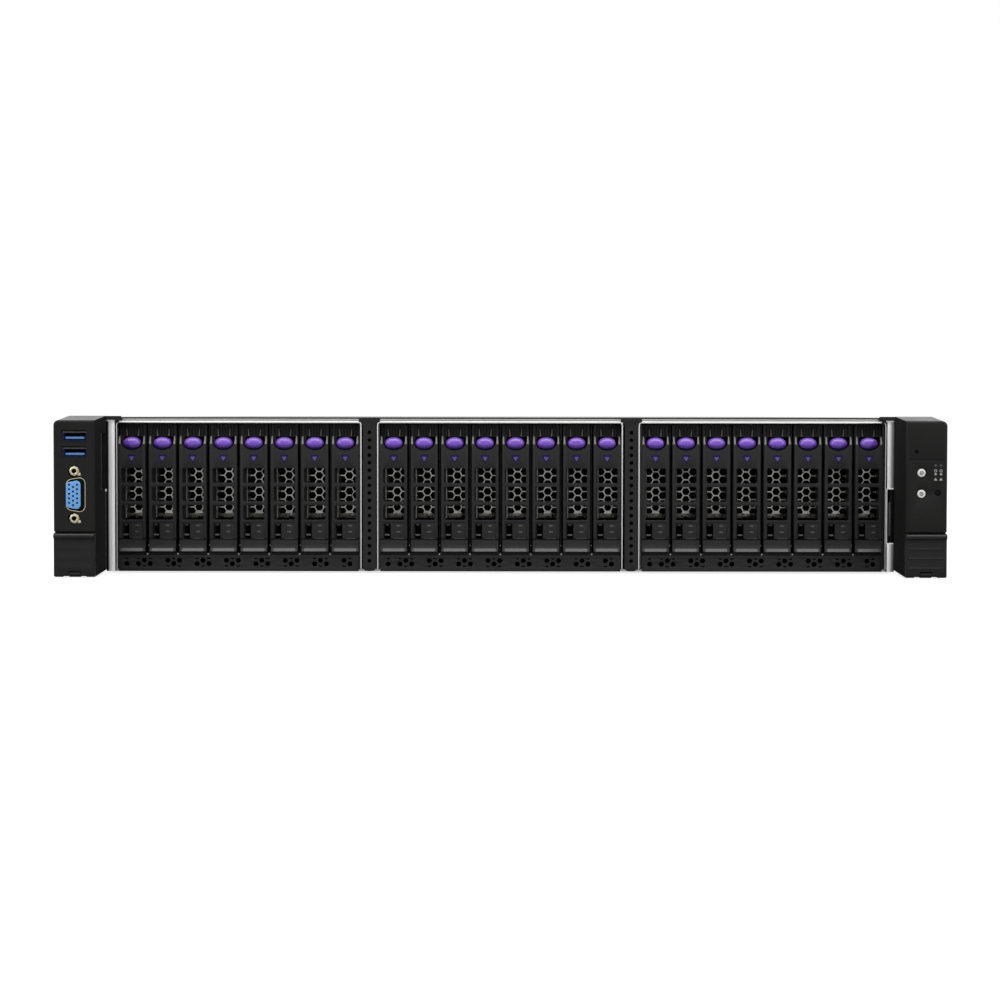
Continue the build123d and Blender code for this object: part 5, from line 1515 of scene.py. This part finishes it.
vents = pierced_strip(*REAR_VENT_X, *REAR_VENT_Z, REAR, 1.85, REAR_VENT_STEP, "zinc")
piece("rear_vents", vents, "chassis")
print("vent plate", len(vents[0][0].polygons), "faces")

# %% [markdown]
# A power supply shows the grille of its fan, a mains inlet and a handle. The handle and the block
# of the inlet are in the CAD node. The grille is the same pierced strip again, and the inlet gets
# a black liner and three pins. Both ride on the supply, so they slide out with it.

# %% Fronts of the two power supplies
INLET_X = 22.0
INLET_SIZE = (27.0, 20.0)
INLET_PINS = ((-6.0, -1.5), (0.0, 2.0), (6.0, -1.5))
SUPPLY_W = 73.5
SUPPLY_VENT_STEP = (4.4, 5.0)
HANDLE_OUT = 14.0


def supply_face(number):
    """Pierced fan grille beside the inlet, the inlet's black liner and its three pins."""
    low, high = drawn_box(f"power_supply_{number}")
    back, x, z = high.y - HANDLE_OUT, low.x + INLET_X, (low.z + high.z) / 2
    parts = pierced_strip(low.x + 38.5, low.x + SUPPLY_W - 1.5, low.z + 2.0, high.z - 2.0, back, 1.9,
                          SUPPLY_VENT_STEP, "supply")
    mouth = centred_box(x, z, *INLET_SIZE, 0.1, 2.0)
    inner = centred_box(x, z, *INLET_SIZE, 2.0, 2.5)
    parts += [(slab([mouth, inner], back - 13.0, back + 0.6, 0.2), "fan"),
              (slab([mouth], back - 13.6, back - 12.9), "deep")]
    for out, lift in INLET_PINS:
        pin = centred_box(x + out, z + lift, 2.0, 4.0)
        parts.append((slab([pin], back - 13.0, back - 3.0, 0.2), "gold"))
    return parts


for number in (1, 2):
    piece(f"supply_face_{number}", supply_face(number), f"power_supply_{number}")
print("supply faces", 2)

# %% [markdown]
# ## The rest of the chassis
#
# The remaining nodes have the right shape already. Each gets the finish of its real material by its slot,
# so nothing is left with a plain colour. The cages are the exception: their dark steel is painted shade.

# %% Finishes for the CAD nodes that stay
NODE_FINISH = {
    "tub": ["chassis_tub"],
    "cover": ["top_cover"],
    "zinc": ["rear_panel", "slot_covers", "power_supply_bay"],
    # the cages' dark steel is painted shade
    "cage": CAGE_NODES,
    "board": ["drive_backplanes", "motherboard"],
    "fan": ["fan_housings"] + [f"fan_rotor_{k}" for k in range(1, 5)],
    "sink": ["heat_sinks"],
    "memory": ["memory_modules"],
    "supply": ["power_supply_1", "power_supply_2"],
}
for finish_name, nodes in NODE_FINISH.items():
    for node in nodes:
        for place in NODES[node].material_slots:
            place.material = M[finish_name]
print("nodes finished", sum(len(nodes) for nodes in NODE_FINISH.values()))

# %% [markdown]
# ## Studio
#
# A pale floor, a soft lamp above and in front, and two soft lamps at the sides. The floor and the
# world show white to the camera through Light Path, so the background is white without flooding
# the object with light. For mirror-like rays the world fades towards the floor line, which gives
# rounded metal its dark and light bands.

# %% Floor
FLOOR_SIZE = 14.0
FLOOR_SHADE = 0.45
FLOOR_LIFT = 0.80            # added for the camera only
s, z = FLOOR_SIZE / 2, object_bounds()[0].z
floor_data = bpy.data.meshes.new("floor")
floor_data.from_pydata([(-s, -s, z), (s, -s, z), (s, s, z), (-s, s, z)], [], [(0, 1, 2, 3)])
floor = in_scene("floor", floor_data)


def floor_material():
    """Pale matte floor that reads as white to the camera and keeps the shadow."""
    material = bpy.data.materials.new("floor")
    material.use_nodes = True
    tree = material.node_tree
    shader = tree.nodes["Principled BSDF"]
    shader.inputs["Base Color"].default_value = (FLOOR_SHADE, FLOOR_SHADE, FLOOR_SHADE, 1.0)
    shader.inputs["Roughness"].default_value = 0.9
    shader.inputs["Specular IOR Level"].default_value = 0.1
    shader.inputs["Emission Color"].default_value = (1.0, 1.0, 1.0, 1.0)
    to_camera = add(tree, "ShaderNodeLightPath").outputs["Is Camera Ray"]
    tree.links.new(maths(tree, "MULTIPLY", to_camera, FLOOR_LIFT), shader.inputs["Emission Strength"])
    return material


floor_data.materials.append(floor_material())

# %% World
AMBIENT = 0.40


def make_world():
    """White behind the object, graded for reflections, plain for diffuse light."""
    world = bpy.data.worlds.new("studio")
    world.use_nodes = True
    tree = world.node_tree
    tree.nodes.clear()
    path = add(tree, "ShaderNodeLightPath")
    direction = add(tree, "ShaderNodeTexCoord").outputs["Generated"]
    height = add(tree, "ShaderNodeSeparateXYZ", {0: direction}).outputs["Z"]
    grade = add(tree, "ShaderNodeMapRange", {
        "Value": height, "From Min": -0.2, "From Max": 0.5, "To Min": 0.62, "To Max": 1.0},
        interpolation_type="SMOOTHSTEP")
    plain = add(tree, "ShaderNodeBackground", {"Strength": AMBIENT})
    mirrored = add(tree, "ShaderNodeBackground", {"Strength": grade.outputs["Result"]})
    white = add(tree, "ShaderNodeBackground", {"Strength": 1.0})
    for shade in (plain, mirrored, white):
        shade.inputs["Color"].default_value = (1.0, 1.0, 1.0, 1.0)
    glossy = add(tree, "ShaderNodeMixShader", {
        0: path.outputs["Is Glossy Ray"], 1: plain.outputs[0], 2: mirrored.outputs[0]})
    seen = maths(tree, "MAXIMUM", path.outputs["Is Camera Ray"], path.outputs["Is Transmission Ray"])
    final = add(tree, "ShaderNodeMixShader", {0: seen, 1: glossy.outputs[0], 2: white.outputs[0]})
    add(tree, "ShaderNodeOutputWorld", {"Surface": final.outputs[0]})
    bpy.context.scene.world = world


make_world()


# %% Lamps
LAMPS = (                    # name, place, target, size and power
    ("lamp_above", (0.0, -0.75, 1.35), (0.0, 0.05, 0.0), (2.2, 1.0), 16.0),
    ("lamp_left", (-1.5, -1.1, 0.7), (0.0, 0.0, 0.0), (0.6, 0.9), 5.0),
    ("lamp_right", (1.5, -1.1, 0.7), (0.0, 0.0, 0.0), (0.6, 0.9), 4.0),
)


def soft_lamp(name, place, target, size, power):
    """A rectangular soft lamp that points at a target."""
    light = bpy.data.lights.new(name, "AREA")
    light.shape = "RECTANGLE"
    light.size, light.size_y = size
    light.energy = power
    lamp = in_scene(name, light)
    lamp.location = place
    lamp.rotation_euler = (Vector(target) - Vector(place)).to_track_quat("-Z", "Y").to_euler()


for row in LAMPS:
    soft_lamp(*row)
print("lamps", len(LAMPS))
